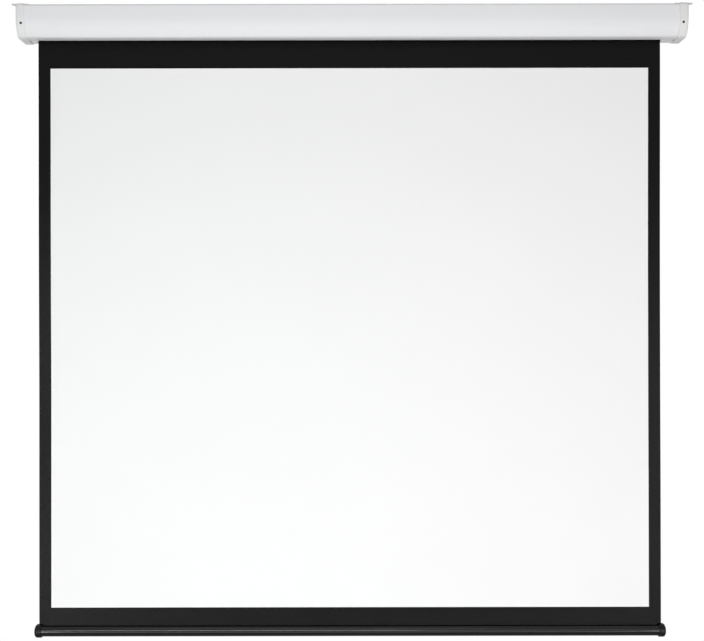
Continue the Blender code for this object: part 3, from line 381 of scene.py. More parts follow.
# %% The section pen
class Pen:
    """Draws a section in (y, z) with a long edge from x = low to x = high."""

    def __init__(self, name, low, high, y, z):
        self.ends = (low, high)
        fresh()
        bpy.ops.mesh.primitive_plane_add(size=1, location=((low + high) / 2, y, z))
        bpy.context.object.scale = (high - low, 1, 1)
        self.piece = started(name)
        edit(self.piece)
        pick(self.piece, "verts", lambda v, at: at.y > y)
        bpy.ops.mesh.delete(type="VERT")
        bpy.ops.mesh.select_all(action="SELECT")
        slide(y=0.5)
        self.y, self.z = y, z

    def to(self, y, z):
        """A straight stretch."""
        pull(y=y - self.y, z=z - self.z)
        self.y, self.z = y, z

    def round(self, y, z, degrees, steps):
        """A spin about (y, z); positive turns from +Y towards +Z."""
        angle = math.radians(degrees)
        bpy.ops.mesh.spin(steps=steps, angle=-angle, center=(0, y, z), axis=(1, 0, 0))
        u, v = self.y - y, self.z - z
        self.y = y + u * math.cos(angle) - v * math.sin(angle)
        self.z = z + u * math.sin(angle) + v * math.cos(angle)

    def lift(self):
        """Ends the drawing where it meets its start, and closes both ends of the tube with a face."""
        bpy.ops.mesh.select_all(action="SELECT")
        bpy.ops.mesh.remove_doubles(threshold=1e-6)
        for end in self.ends:
            pick(self.piece, "edges", lambda e, at: e.is_boundary and abs(at.x - end) < 1e-5)
            bpy.ops.mesh.edge_face_add()
        outward(self.piece)
        return self.piece


# %% [markdown]
# The case is one aluminium extrusion. Its upper front is upright, and below that the front leans back in a
# wide curve towards the slot that the sheet comes out of. The wall is 1.5 mm thick, the slot has two stiff
# lips, and three C shaped ports inside take the screws of the end brackets. The pen goes once round the
# outside and back round the inside, so the piece is a closed solid with real wall thickness.

# %% Sizes of the case
CASE_LOW, CASE_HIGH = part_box("housing_shell")
DEPTH = -CASE_LOW.y
TOP = CASE_HIGH.z
BOTTOM = CASE_LOW.z
WALL = 0.0015
BREAK = 0.008  # the height below which the front leans back
CURVE = 0.085  # the radius of the part that leans back
ROUND_TOP_FRONT = 0.008
ROUND_LOW_FRONT = 0.013
ROUND_LOW_BACK = 0.013
ROUND_TOP_BACK = 0.003
SHEET_Y = -0.034
SLOT_REACH = 0.007  # from the sheet to either side of the slot
SLOT_FRONT, SLOT_BACK = SHEET_Y - SLOT_REACH, SHEET_Y + SLOT_REACH
LIP = BOTTOM + 0.006
LIP_EDGE = 0.0006
PORT_BORE, PORT_OUTER = 0.0021, 0.0035
PORT_STAND = 0.0025  # from the inner face to the port's centre
PORT_MOUTH = 35.0  # half of the angle that the port is open by, in degrees
PORT_IN = 0.019  # from the case's front and back to the upper ports
LEAN = math.degrees(math.asin((BREAK - ROUND_LOW_FRONT - BOTTOM) / (CURVE - ROUND_LOW_FRONT)))
CURVE_Y = CURVE - DEPTH
LOW_FRONT_Y = CURVE_Y - (CURVE - ROUND_LOW_FRONT) * math.cos(math.radians(LEAN))
LOW_FRONT_Z = BREAK - (CURVE - ROUND_LOW_FRONT) * math.sin(math.radians(LEAN))
print("case from", [round(v, 4) for v in CASE_LOW], "to", [round(v, 4) for v in CASE_HIGH])


# %% Draw the case
def front_of_section(pen, offset, way):
    """The rounded front, from the underside up to the top (way 1) or back down (way -1)."""
    stops = [(LOW_FRONT_Y, LOW_FRONT_Z, 90 - LEAN, 10), (CURVE_Y, BREAK, LEAN, 16)]
    upper = (ROUND_TOP_FRONT - DEPTH, TOP - ROUND_TOP_FRONT)
    if way > 0:
        for y, z, degrees, steps in stops:
            pen.round(y, z, -degrees, steps)
        pen.to(-DEPTH - offset, upper[1])
        pen.round(*upper, -90, 12)
    else:
        pen.round(*upper, 90, 12)
        pen.to(-DEPTH - offset, BREAK)
        for y, z, degrees, steps in stops[::-1]:
            pen.round(y, z, degrees, steps)


def screw_port(pen, y, z, base):
    """A C shaped port on the case's inner face; base is 0 on the floor and 180 under the top."""
    below = math.degrees(math.asin(PORT_STAND / PORT_OUTER))
    flank = -(90 + below - PORT_MOUTH)

    def spot(radius, degrees):
        angle = math.radians(degrees + base)
        return y + radius * math.cos(angle), z + radius * math.sin(angle)

    pen.to(*spot(PORT_OUTER, 180 + below))
    pen.round(y, z, flank, 8)
    pen.to(*spot(PORT_BORE, 90 + PORT_MOUTH))
    pen.round(y, z, 360 - 2 * PORT_MOUTH, 18)
    pen.to(*spot(PORT_OUTER, 90 - PORT_MOUTH))
    pen.round(y, z, flank, 8)


ceiling = TOP - WALL
ground_floor = BOTTOM + WALL
pen = Pen("case", CASE_LOW.x, CASE_HIGH.x, SLOT_FRONT, LIP - LIP_EDGE)
pen.to(SLOT_FRONT, BOTTOM + LIP_EDGE)
pen.to(SLOT_FRONT - LIP_EDGE, BOTTOM)
pen.to(LOW_FRONT_Y, BOTTOM)
front_of_section(pen, 0, 1)
pen.to(-ROUND_TOP_BACK, TOP)
pen.round(-ROUND_TOP_BACK, TOP - ROUND_TOP_BACK, -90, 6)
pen.to(0, BOTTOM + ROUND_LOW_BACK)
pen.round(-ROUND_LOW_BACK, BOTTOM + ROUND_LOW_BACK, -90, 10)
for y, z in ((SLOT_BACK + LIP_EDGE, BOTTOM), (SLOT_BACK, BOTTOM + LIP_EDGE), (SLOT_BACK, LIP - LIP_EDGE),
             (SLOT_BACK + LIP_EDGE, LIP), (SLOT_BACK + WALL, LIP), (SLOT_BACK + WALL, ground_floor),
             (-ROUND_LOW_BACK, ground_floor)):
    pen.to(y, z)
pen.round(-ROUND_LOW_BACK, BOTTOM + ROUND_LOW_BACK, 90, 10)
pen.to(-WALL, TOP - ROUND_TOP_BACK)
pen.round(-ROUND_TOP_BACK, TOP - ROUND_TOP_BACK, 90, 6)
screw_port(pen, -PORT_IN, ceiling - PORT_STAND, 180)
screw_port(pen, -DEPTH + PORT_IN, ceiling - PORT_STAND, 180)
pen.to(ROUND_TOP_FRONT - DEPTH, ceiling)
front_of_section(pen, -WALL, -1)
screw_port(pen, (LOW_FRONT_Y + SLOT_FRONT - WALL) / 2, ground_floor + PORT_STAND, 0)
for y, z in ((SLOT_FRONT - WALL, ground_floor), (SLOT_FRONT - WALL, LIP), (SLOT_FRONT - LIP_EDGE, LIP),
             (SLOT_FRONT, LIP - LIP_EDGE)):
    pen.to(y, z)
case = pen.lift()
smooth(case)
print("case faces:", len(case.data.polygons))

# %% [markdown]
# Round pieces are turned: a ring of vertices is pulled along its axis and made wider or narrower at each stage.
# Flat pieces are cut from an outline: one vertex is pulled round it, the outline is filled, and the face is
# pulled to its thickness. Holes and screw slots are cut with tools made in the same ways.

# %% Turning, cutting out and drilling
TILT = {"X": (0, math.pi / 2, 0), "Y": (-math.pi / 2, 0, 0), "Z": (0, 0, 0)}
SHANK = 0.0018  # the radius of every screw's thread
SCREW_TIP, TIP_SHARE = 0.0012, 0.4  # how long the tip is, and how thin its end is next to the thread
RECESS_DEPTH = 0.0013
RECESS_START = 0.0002  # the cutter stands out of the head by this
RECESS_WIDTH, RECESS_TAPER = 0.2, 0.45  # shares of the recess's arm and of its size at the top
EDGE = 0.0004  # how wide moulded and punched edges are rounded


def turn(name, centre, axis, profile, steps=32):
    """Turns a profile of (distance along the axis, radius); a hollow one ends where it started."""
    fresh()
    first, radius = profile[0]
    place = list(centre)
    k = "XYZ".index(axis)
    place[k] += first
    bpy.ops.mesh.primitive_circle_add(vertices=steps, radius=radius, location=place, rotation=TILT[axis])
    piece = started(name)
    edit(piece)
    bpy.ops.mesh.select_all(action="SELECT")
    hollow = profile[0] == profile[-1]
    if not hollow:
        bpy.ops.mesh.edge_face_add()
        bpy.ops.mesh.select_all(action="SELECT")
    for along, wide in profile[1:]:
        move = [0, 0, 0]
        move[k] = along - first
        pull(*move)
        grow = [wide / radius] * 3
        grow[k] = 1
        bpy.ops.transform.resize(value=grow)
        first, radius = along, wide
    done()
    outward(piece)
    return piece


def cut_out(name, points, depth, taper=1.0):
    """Cuts a plate out of an outline of points; depth is the way to its other face, which taper shrinks."""
    fresh()
    bpy.ops.mesh.primitive_plane_add(size=0.001, location=points[0])
    piece = started(name)
    edit(piece)
    bpy.ops.mesh.select_all(action="SELECT")
    bpy.ops.mesh.merge(type="CENTER")
    for last, point in zip(points, points[1:] + points[:1]):
        pull(*(b - a for a, b in zip(last, point)))
    bpy.ops.mesh.select_all(action="SELECT")
    bpy.ops.mesh.remove_doubles(threshold=1e-6)
    bpy.ops.mesh.edge_face_add()
    pull(*depth)
    bpy.ops.transform.resize(value=[1 if step else taper for step in depth])
    done()
    outward(piece, 1e-7)  # the recess cutters are small
    return piece


def block(name, low, high):
    """A cutting block between two corners."""
    fresh()
    bpy.ops.mesh.primitive_cube_add(size=1, location=[(a + b) / 2 for a, b in zip(low, high)])
    bpy.context.object.scale = [b - a for a, b in zip(low, high)]
    return started(name)


def combine(piece, operation, *tools):
    """Applies one exact Boolean with all the tools together, and throws the tools away."""
    knife = alone(tools[0])
    for other in tools[1:]:
        other.select_set(True)
    if len(tools) > 1:
        bpy.ops.object.join()
    apply(piece, "BOOLEAN", operation=operation, solver="EXACT", object=knife)
    bpy.data.objects.remove(knife, do_unlink=True)


def round_edges(piece, degrees, segments):
    """Takes the sharpness off every edge steeper than the angle."""
    apply(piece, "BEVEL", width=EDGE, segments=segments, limit_method="ANGLE",
          angle_limit=math.radians(degrees), use_clamp_overlap=True)


def cross(name, centre, axis, sign, arm):
    """A cutter for a cross recess, wide at the head's top and narrow inside."""
    k = "XYZ".index(axis)
    half = arm * RECESS_WIDTH
    plan = [(arm, -half), (arm, half), (half, half), (half, arm), (-half, arm), (-half, half)]
    plan += [(-u, -v) for u, v in plan]
    points = []
    for u, v in plan:
        spot = [u, v]
        spot.insert(k, sign * RECESS_START)
        points.append(tuple(a + b for a, b in zip(centre, spot)))
    depth = [0.0, 0.0, 0.0]
    depth[k] = -sign * RECESS_DEPTH
    return cut_out(name, points, depth, RECESS_TAPER)


def screw(name, centre, axis, sign, head, length, recess):
    """A cross head screw; centre is the top of its head, and sign the way that its head faces."""
    profile = [(-sign * along, radius) for along, radius in head]
    profile += [(-sign * head[-1][0], SHANK), (-sign * (length - SCREW_TIP), SHANK),
                (-sign * length, SHANK * TIP_SHARE)]
    piece = turn(name, centre, axis, profile, 28)
    combine(piece, "DIFFERENCE", cross(name + "_cross", centre, axis, sign, recess))
    smooth(piece, 35)
    return piece


# %% [markdown]
# The end caps are moulded shells. Each is drawn with the case's own section 2.5 mm further out, closed at its
# outer end, rounded there, and given a wall. The back is cut away where the case runs in behind it.

# %% The end caps
def middle_of(node):
    """The middle of a CAD node's box."""
    low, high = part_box(node)
    return (low + high) / 2


END = 0.956  # the caps' outer faces, from the middle
RIM = END - 0.025  # where the caps start
PROUD = 0.0025  # how far the caps stand out round the case
CAP_WALL = 0.0022
MOUTH_DEPTH = 0.0025  # how deep the back is cut away
CAP_ROUND = 0.005
CASE_END = CASE_HIGH.x
FIT = 0.0003  # the gap between pieces that meet
SCREW_HEAD = 0.0019  # how high the head of a front screw is
SCREW_X, SCREW_TOP, SCREW_Z = middle_of("cap_screw_right").x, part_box("cap_screw_right")[0].y, -0.010
SCREW_SEAT = SCREW_TOP + SCREW_HEAD + FIT
SEAT_RADIUS = 0.0037  # the hollows that the front screws sit in
WAY_RADIUS = 0.0021  # the holes that the screws pass through
BOSS_FRONT, BOSS_BACK, BOSS_RADIUS = -0.0872, -0.08296, 0.0046
HANGER_SCREW_X = middle_of("hanger_screw_right_front").x
HANGER_SCREW_YS = (middle_of("hanger_screw_right_front").y, middle_of("hanger_screw_right_back").y)
GLAND_Y, GLAND_Z = middle_of("cable_gland").y, middle_of("cable_gland").z
GLAND_HOLE = 0.0055  # the radius of the hole that the inlet sits in


def meets_back(radius, offset):
    """Where a corner round of the case, moved out by offset, runs into the plane of the wall."""
    return math.degrees(math.acos(radius / (radius + offset)))


def cap_section(name, low, high, offset, back):
    """A closed block with the case's section moved out by offset, and flat at y = back."""
    pen = Pen(name, low, high, LOW_FRONT_Y, BOTTOM - offset)
    front_of_section(pen, offset, 1)
    upper, lower = ROUND_TOP_BACK + back, ROUND_LOW_BACK + back
    grown = offset - back
    pen.to(-ROUND_TOP_BACK, TOP + offset)
    pen.round(-ROUND_TOP_BACK, TOP - ROUND_TOP_BACK, meets_back(upper, grown) - 90, 4)
    rise = (ROUND_LOW_BACK + offset) * math.sin(math.radians(meets_back(lower, grown)))
    pen.to(back, BOTTOM + ROUND_LOW_BACK - rise)
    pen.round(-ROUND_LOW_BACK, BOTTOM + ROUND_LOW_BACK, meets_back(lower, grown) - 90, 8)
    pen.to(LOW_FRONT_Y, BOTTOM - offset)
    return pen.lift()


def end_cap(side, word, *more):
    """A moulded cap; side is -1 or 1, and more are cutters for its other openings."""
    cap = cap_section("cap_" + word, *sorted((side * RIM, side * END)), PROUD, 0)
    edit(cap)
    pick(cap, "edges", lambda e, at: all(abs(v.co.x - side * END) < 1e-5 for v in e.verts))
    bpy.ops.mesh.bevel(offset=CAP_ROUND, segments=7, affect="EDGES")
    done()
    ends = sorted((side * (RIM - 0.001), side * (END - CAP_WALL)))
    combine(cap, "DIFFERENCE", cap_section("cavity", *ends, PROUD - CAP_WALL, -CAP_WALL))

    boss = turn("boss", (side * SCREW_X, 0, SCREW_Z), "Y",
                [(BOSS_FRONT, BOSS_RADIUS), (BOSS_BACK, BOSS_RADIUS)], 28)
    combine(cap, "UNION", boss)
    mouth = sorted((side * (RIM - 0.01), side * (CASE_END + FIT)))
    tools = [
        block("mouth", (mouth[0], -MOUTH_DEPTH, -0.09), (mouth[1], 0.01, 0.09)),
        turn("seat", (side * SCREW_X, 0, SCREW_Z), "Y",
             [(-0.095, SEAT_RADIUS), (SCREW_SEAT, SEAT_RADIUS), (SCREW_SEAT, WAY_RADIUS), (-0.080, WAY_RADIUS)]),
    ]
    for y in HANGER_SCREW_YS:
        tools.append(turn("way", (side * HANGER_SCREW_X, y, 0), "Z",
                          [(TOP - 0.004, WAY_RADIUS), (TOP + 0.006, WAY_RADIUS)], 24))
    combine(cap, "DIFFERENCE", *tools, *more)
    round_edges(cap, 50, 2)
    smooth(cap, 32)
    return cap


gland_way = turn("gland_way", (0, GLAND_Y, GLAND_Z), "X", [(0.950, GLAND_HOLE), (0.960, GLAND_HOLE)])
cap_left = end_cap(-1, "left")
cap_right = end_cap(1, "right", gland_way)
print("cap faces:", len(cap_left.data.polygons), len(cap_right.data.polygons))

# %% [markdown]
# One steel plate sits on each cap. It is wide at its front, where an ear reaches past the cap with a hole to
# hang the screen by, and a tab reaches inwards over the case. Two countersunk screws hold it.

# %% The hanger plates and their screws
RIGHT_LOW, RIGHT_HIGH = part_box("hanger_plate_right")
PLATE_LOW, PLATE_HIGH = RIGHT_LOW.z, RIGHT_HIGH.z
PLATE_FRONT, PLATE_BACK = RIGHT_LOW.y, -0.006  # the narrow part ends at PLATE_BACK
EAR_X = RIGHT_HIGH.x
EAR_ROUND = 0.003
EAR_BACK = PLATE_FRONT + 0.009  # where the ear and the tab start to run back
NECK_FRONT = PLATE_FRONT + 0.020  # where the plate has come down to its narrow width
NECK_IN = 0.002  # how far the narrow part stays within the cap
TAB_X = RIM - 0.0085
HOLE_Y, HOLE_RADIUS = PLATE_FRONT + 0.008, 0.0032
# Both heads run from the top down, as (depth, radius).
PAN_HEAD = [(0, 0.0010), (0.0002, 0.0022), (0.0007, 0.0030), (0.0013, 0.0034), (SCREW_HEAD, 0.0034)]
FLAT_HEAD = [(0, 0.0034), (0.0002, 0.0036), (0.0018, 0.0019)]
PAN_RECESS, FLAT_RECESS = 0.0019, 0.0020


def hanger_plate(side, word):
    """A hanging plate, drawn as the right one and mirrored by side."""
    right = [(TAB_X, PLATE_FRONT), (EAR_X - EAR_ROUND, PLATE_FRONT)]
    for step in range(1, 7):
        angle = math.radians(90 - 15 * step)
        right.append((EAR_X - EAR_ROUND + EAR_ROUND * math.cos(angle),
                      PLATE_FRONT + EAR_ROUND - EAR_ROUND * math.sin(angle)))
    right += [(EAR_X, EAR_BACK), (END - NECK_IN, NECK_FRONT), (END - NECK_IN, PLATE_BACK),
              (RIM + NECK_IN, PLATE_BACK), (RIM + NECK_IN, NECK_FRONT), (TAB_X, EAR_BACK)]
    outline = [(side * x, y, PLATE_LOW) for x, y in right]
    plate = cut_out("plate_" + word, outline, (0, 0, PLATE_HIGH - PLATE_LOW))
    round_edges(plate, 30, 3)
    hole = turn("hole", (side * (END + EAR_X) / 2, HOLE_Y, PLATE_LOW), "Z",
                [(-0.003, HOLE_RADIUS), (0.006, HOLE_RADIUS)], 36)
    sinks = [turn("sink", (side * HANGER_SCREW_X, y, PLATE_HIGH), "Z",
                  [(0.0005, 0.0044), (-0.0018, WAY_RADIUS), (-0.005, WAY_RADIUS)]) for y in HANGER_SCREW_YS]
    combine(plate, "DIFFERENCE", hole, *sinks)
    smooth(plate, 32)
    return plate


def pan_screw(side, word):
    low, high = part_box("cap_screw_" + word)
    return screw("front_screw_" + word, (side * SCREW_X, low.y, SCREW_Z), "Y", -1, PAN_HEAD,
                 high.y - low.y, PAN_RECESS)


def flat_screw(side, word, place, y):
    low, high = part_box(f"hanger_screw_{word}_{place}")
    return screw(f"top_screw_{word}_{place}", (side * HANGER_SCREW_X, y, high.z), "Z", 1, FLAT_HEAD,
                 high.z - low.z, FLAT_RECESS)


plates, pan_screws, flat_screws = {}, {}, {}
for side, word in ((-1, "left"), (1, "right")):
    plates[word] = hanger_plate(side, word)
    pan_screws[word] = pan_screw(side, word)
    for place, y in zip(("front", "back"), HANGER_SCREW_YS):
        flat_screws[word, place] = flat_screw(side, word, place, y)
print("plates:", len(plates), "screws:", len(pan_screws) + len(flat_screws))

# %% [markdown]
# The screen cloth is one sheet of coated glass fibre, 0.5 mm thick, wound over the front of the roller and led
# down behind it. Only the matte front is white, within a printed black surround. The hanging part is cut
# from a plane along the printed lines and pulled to its thickness. Between the case and the bar nothing holds
# it flat, so it gets the faint long waves of hanging cloth. Its black foot is a piece of its own, which goes up
# with the bar at its full height, so the rolled up screen shows black above the bar. The waves bulge only
# towards the wall, which keeps them off the roller.

# %% The hanging sheet
SHEET_LOW, SHEET_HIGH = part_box("screen_sheet")
THICK = 0.0005
WHITE_LEFT, WHITE_RIGHT = -0.8735, 0.8565
WHITE_LOW, WHITE_HIGH = -1.6865, -0.126
FOOT_GAP = 0.00002  # keeps the foot's top off the sheet's lower end
FREE_CELLS = 28  # the cells that the white area is cut into, each way
WAVE = 0.007  # how strongly the pattern bends the sheet
WAVE_LENGTH = 0.7
WAVE_LEVEL = 0.15  # the pattern's lowest value, so that every wave bulges the same way


def in_metres(piece):
    """Lays the piece's UV map out in metres, so that a pattern keeps its size."""
    edit(piece)
    bpy.ops.mesh.select_all(action="SELECT")
    bpy.ops.uv.cube_project(cube_size=1.0, correct_aspect=False, scale_to_bounds=False)
    done()


def cloth(name, low, high, cuts):
    """A flat upright sheet between two heights, cut along planes and pulled to its thickness."""
    fresh()
    middle = ((SHEET_LOW.x + SHEET_HIGH.x) / 2, SHEET_LOW.y, (low + high) / 2)
    bpy.ops.mesh.primitive_plane_add(size=1, location=middle, rotation=(math.pi / 2, 0, 0))
    bpy.context.object.scale = (SHEET_HIGH.x - SHEET_LOW.x, high - low, 1)
    piece = started(name)
    edit(piece)
    for spot, across in cuts:
        bpy.ops.mesh.select_all(action="SELECT")
        bpy.ops.mesh.bisect(plane_co=spot, plane_no=across)
    bpy.ops.mesh.select_all(action="SELECT")
    pull(y=THICK)
    done()
    outward(piece)
    in_metres(piece)
    return piece


cuts = [((x, 0, 0), (1, 0, 0)) for x in (WHITE_LEFT, WHITE_RIGHT)]
cuts.append(((0, 0, WHITE_HIGH), (0, 0, 1)))
for step in range(1, FREE_CELLS):
    share = step / FREE_CELLS
    cuts.append(((WHITE_LEFT + share * (WHITE_RIGHT - WHITE_LEFT), 0, 0), (1, 0, 0)))
    cuts.append(((0, 0, WHITE_LOW + share * (WHITE_HIGH - WHITE_LOW)), (0, 0, 1)))
sheet = cloth("hanging_sheet", WHITE_LOW, SHEET_HIGH.z, cuts)
foot = cloth("foot_of_sheet", SHEET_LOW.z, WHITE_LOW - FOOT_GAP, [])
free = sheet.vertex_groups.new(name="free")
for vertex in sheet.data.vertices:
    share = (vertex.co.z - WHITE_LOW) / (WHITE_HIGH - WHITE_LOW)
    free.add([vertex.index], math.sin(math.pi * min(max(share, 0), 1)), "REPLACE")
waves = bpy.data.textures.new("waves", "CLOUDS")
waves.noise_scale = WAVE_LENGTH
waves.noise_depth = 1
apply(sheet, "DISPLACE", texture=waves, texture_coords="LOCAL", direction="Y", mid_level=WAVE_LEVEL,
      strength=WAVE, vertex_group="free")
smooth(sheet)
print("sheet faces:", len(sheet.data.polygons))

# %% [markdown]
# One and a quarter safety turns stay on the roller when the screen is right down. Their section is a spiral,
# drawn out along its outside and back along its inside. At the bottom, the cloth goes through the bar's slot and
# round a steel rod that it can't slip off.

# %% The turns on the roller and the hem
AXIS_Y = -0.054925
WOUND_RADIUS = 0.020925
PITCH = 0.0011  # how much closer to the axis each turn lies
TURNS = 1.25
STEPS = 60
HEM_TOP = SHEET_LOW.z - FIT
ROD_Z = -1.7437
LOOP, POCKET = 0.0043, 0.0038  # the outer and the inner radius of the cloth round the rod
PAST = 0.01  # how far a cutter runs past an end


def spiral(step, grow):
    """A point on the spiral, moved outwards by grow."""
    angle = math.tau * TURNS * step / STEPS
    radius = WOUND_RADIUS - PITCH * angle / math.tau + grow
    return AXIS_Y + radius * math.cos(angle), radius * math.sin(angle)


path = [spiral(step, THICK / 2) for step in range(STEPS + 1)]
path += [spiral(step, -THICK / 2) for step in reversed(range(STEPS + 1))]
pen = Pen("roll_of_cloth", SHEET_LOW.x, SHEET_HIGH.x, *path[0])
for spot in path[1:] + path[:1]:
    pen.to(*spot)
roll = pen.lift()
in_metres(roll)
smooth(roll)

lap = math.degrees(math.asin(THICK / LOOP))  # the angle from the loop's top to where it meets each layer
pen = Pen("hem", SHEET_LOW.x, SHEET_HIGH.x, SHEET_Y - THICK, HEM_TOP)
pen.to(SHEET_Y - THICK, ROD_Z + LOOP * math.cos(math.radians(lap)))
pen.round(SHEET_Y, ROD_Z, 360 - 2 * lap, 32)
pen.to(SHEET_Y + THICK, HEM_TOP)
pen.to(SHEET_Y - THICK, HEM_TOP)
hem = pen.lift()
pocket = turn("pocket", (0, SHEET_Y, ROD_Z), "X",
              [(SHEET_LOW.x - PAST, POCKET), (SHEET_HIGH.x + PAST, POCKET)])
combine(hem, "DIFFERENCE", pocket)
in_metres(hem)
smooth(hem)
print("faces of the turns and the hem:", len(roll.data.polygons), len(hem.data.polygons))

# %% [markdown]
# The bottom bar is a round aluminium tube with a slot along its top, and its ends are closed by domed plugs
# that are slit for the cloth.

# %% The bottom bar
BAR_Z = -1.7535
BAR_RADIUS = 0.016
BAR_WALL = 0.0016
SLOT_HALF = 0.0017  # half the width of the tube's slot
CAP_SKIN, CAP_INSIDE = 0.0192, 0.0163  # the plug's outer radius and that of the hollow for the tube
CAP_DOME, CAP_FLAT = 0.0080, 0.0086  # the dome's depth and the radius of its flat middle
CAP_FLOOR = 0.0018  # from the cloth's edge to the floor of the hollow
CAP_EDGE = 0.0006
AXIS_RADIUS = 0.001  # the radius of the small discs that close the turned profile
SLIT_HALF = 0.0011  # half the width of the plug's slit
TUBE_LOW, TUBE_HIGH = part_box("bottom_bar_tube")


def beside_slot(radius, sign):
    """Where a circle of the tube's section meets a side of its slot."""
    return SHEET_Y + sign * SLOT_HALF, BAR_Z + math.sqrt(radius**2 - SLOT_HALF**2)


def open_angle(radius):
    """How far a circle of the section goes round, from one side of the slot to the other."""
    return 360 - 2 * math.degrees(math.asin(SLOT_HALF / radius))


bore = BAR_RADIUS - BAR_WALL
pen = Pen("bar_tube", TUBE_LOW.x, TUBE_HIGH.x, *beside_slot(BAR_RADIUS, 1))
pen.round(SHEET_Y, BAR_Z, -open_angle(BAR_RADIUS), 84)
pen.to(*beside_slot(bore, -1))
pen.round(SHEET_Y, BAR_Z, open_angle(bore), 84)
pen.to(*beside_slot(BAR_RADIUS, 1))
bar_tube = pen.lift()
smooth(bar_tube)


def bar_cap(word, edge, sign):
    """A domed plug; edge is where the sheet ends, and sign the way that the plug faces."""
    low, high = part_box("bar_cap_" + word)
    tip, mouth = (high.x, low.x) if sign > 0 else (low.x, high.x)
    inner_floor = edge + sign * CAP_FLOOR
    profile = [(inner_floor, AXIS_RADIUS), (inner_floor, CAP_INSIDE), (mouth, CAP_INSIDE),
               (mouth, CAP_SKIN - CAP_EDGE), (mouth + sign * CAP_EDGE, CAP_SKIN)]
    for step in range(11):
        angle = math.radians(9 * step)
        profile.append((tip - sign * CAP_DOME * (1 - math.sin(angle)),
                        CAP_FLAT + (CAP_SKIN - CAP_FLAT) * math.cos(angle)))
    profile.append((tip, AXIS_RADIUS))
    cap = turn("cap_of_bar_" + word, (0, SHEET_Y, BAR_Z), "X", profile, 56)
    ends = sorted((mouth - sign * 0.002, edge + sign * FIT))
    slit = block("slit", (ends[0], SHEET_Y - SLIT_HALF, BAR_Z + 0.008),
                 (ends[1], SHEET_Y + SLIT_HALF, BAR_Z + 0.021))
    combine(cap, "DIFFERENCE", slit)
    smooth(cap, 35)
    return cap


bar_caps = {word: bar_cap(word, edge, sign)
            for word, edge, sign in (("left", SHEET_LOW.x, -1), ("right", SHEET_HIGH.x, 1))}
print("faces of the bar:", len(bar_tube.data.polygons), "and its plugs:", len(bar_caps["left"].data.polygons))

# %% [markdown]
# The mains lead isn't in the photograph, so it isn't in the model. Its inlet is: a plastic sleeve through the
# motor side cap, with a rounded mouth and grips round its collar.

# %% The inlet
BORE, SLEEVE, COLLAR = 0.0036, 0.0052, 0.0070  # radii
GRIPS, GRIP_RING, GRIP_RADIUS = 12, 0.0073, 0.0007
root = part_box("cable_gland")[0].x
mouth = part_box("cable_gland")[1].x
collar = END + FIT
profile = [(root, BORE), (mouth - 0.0008, BORE), (mouth - 0.0002, 0.0040), (mouth, 0.0046),
           (mouth, 0.0055), (mouth - 0.0004, 0.0063), (mouth - 0.0012, 0.0068), (mouth - 0.0020, COLLAR),
           (collar, COLLAR), (collar, SLEEVE), (root, SLEEVE), (root, BORE)]
gland = turn("inlet", (0, GLAND_Y, GLAND_Z), "X", profile, 48)
grips = []
for step in range(GRIPS):
    angle = math.tau * step / GRIPS
    place = (0, GLAND_Y + GRIP_RING * math.cos(angle), GLAND_Z + GRIP_RING * math.sin(angle))
    grips.append(turn("grip", place, "X", [(collar + 0.0012, GRIP_RADIUS), (mouth + 0.001, GRIP_RADIUS)], 12))
combine(gland, "DIFFERENCE", *grips)
smooth(gland, 35)
print("inlet faces:", len(gland.data.polygons))

# %% [markdown]
# Every finish is procedural and sized in metres. Powder coat has a faint orange peel, moulded plastic a fine
# grain, rolled and extruded metal fine lines along the piece, and zinc plate a soft mottle. The cloth's weave
# uses its own UV map, laid out in metres.

# %% Finishes
GRAIN = 2200  # moulded plastic
LINES = 1500  # rolled or extruded metal
WEAVE = 0.0008  # the pitch of the cloth's threads


def darker(colour, share):
    """A colour times a share."""
    return tuple(c * share for c in colour[:3]) + (1.0,)


def varied(paint, spot, scale, base, spread):
    """A value that wanders round base by spread."""
    return (paint.noise(spot, scale) - 0.5) * (2 * spread) + base


def coated(name, colour, roughness, peel=700, depth=0.00007, shine=0.5):
    """Powder coat."""
    paint = Paint(name, IOR=1.5, Specular_IOR_Level=shine)
    spot = paint.places()
    paint.feed(Base_Color=paint.blend(paint.noise(spot, 3.0), darker(colour, 0.97), colour),
               Roughness=varied(paint, spot, 25, roughness, 0.05),
               Normal=paint.bump(paint.noise(spot, peel, 1.0), depth))
    return paint.material


def moulded(name, colour, roughness, shine=0.5):
    """Injection moulded plastic."""
    paint = Paint(name, IOR=1.46, Specular_IOR_Level=shine)
    spot = paint.places()
    paint.feed(Base_Color=paint.blend(paint.noise(spot, 9.0), darker(colour, 0.95), colour),
               Roughness=varied(paint, spot, 60, roughness, 0.06),
               Normal=paint.bump(paint.noise(spot, GRAIN, 3.0), 0.00005))
    return paint.material


def metal(name, colour, roughness, stretch=(1, 1, 1), mottle=40):
    """Bare or plated metal; stretch shortens the lines' pattern along one way."""
    paint = Paint(name, Metallic=1.0)
    mark = paint.noise(paint.places(stretch), LINES, 3.0)
    cloud = paint.noise(paint.places(), mottle, 3.0)
    paint.feed(Base_Color=paint.blend(cloud, darker(colour, 0.82), colour),
               Roughness=(mark - 0.5) * 0.16 + (cloud - 0.5) * 0.12 + roughness,
               Normal=paint.bump(mark, 0.00001))
    return paint.material


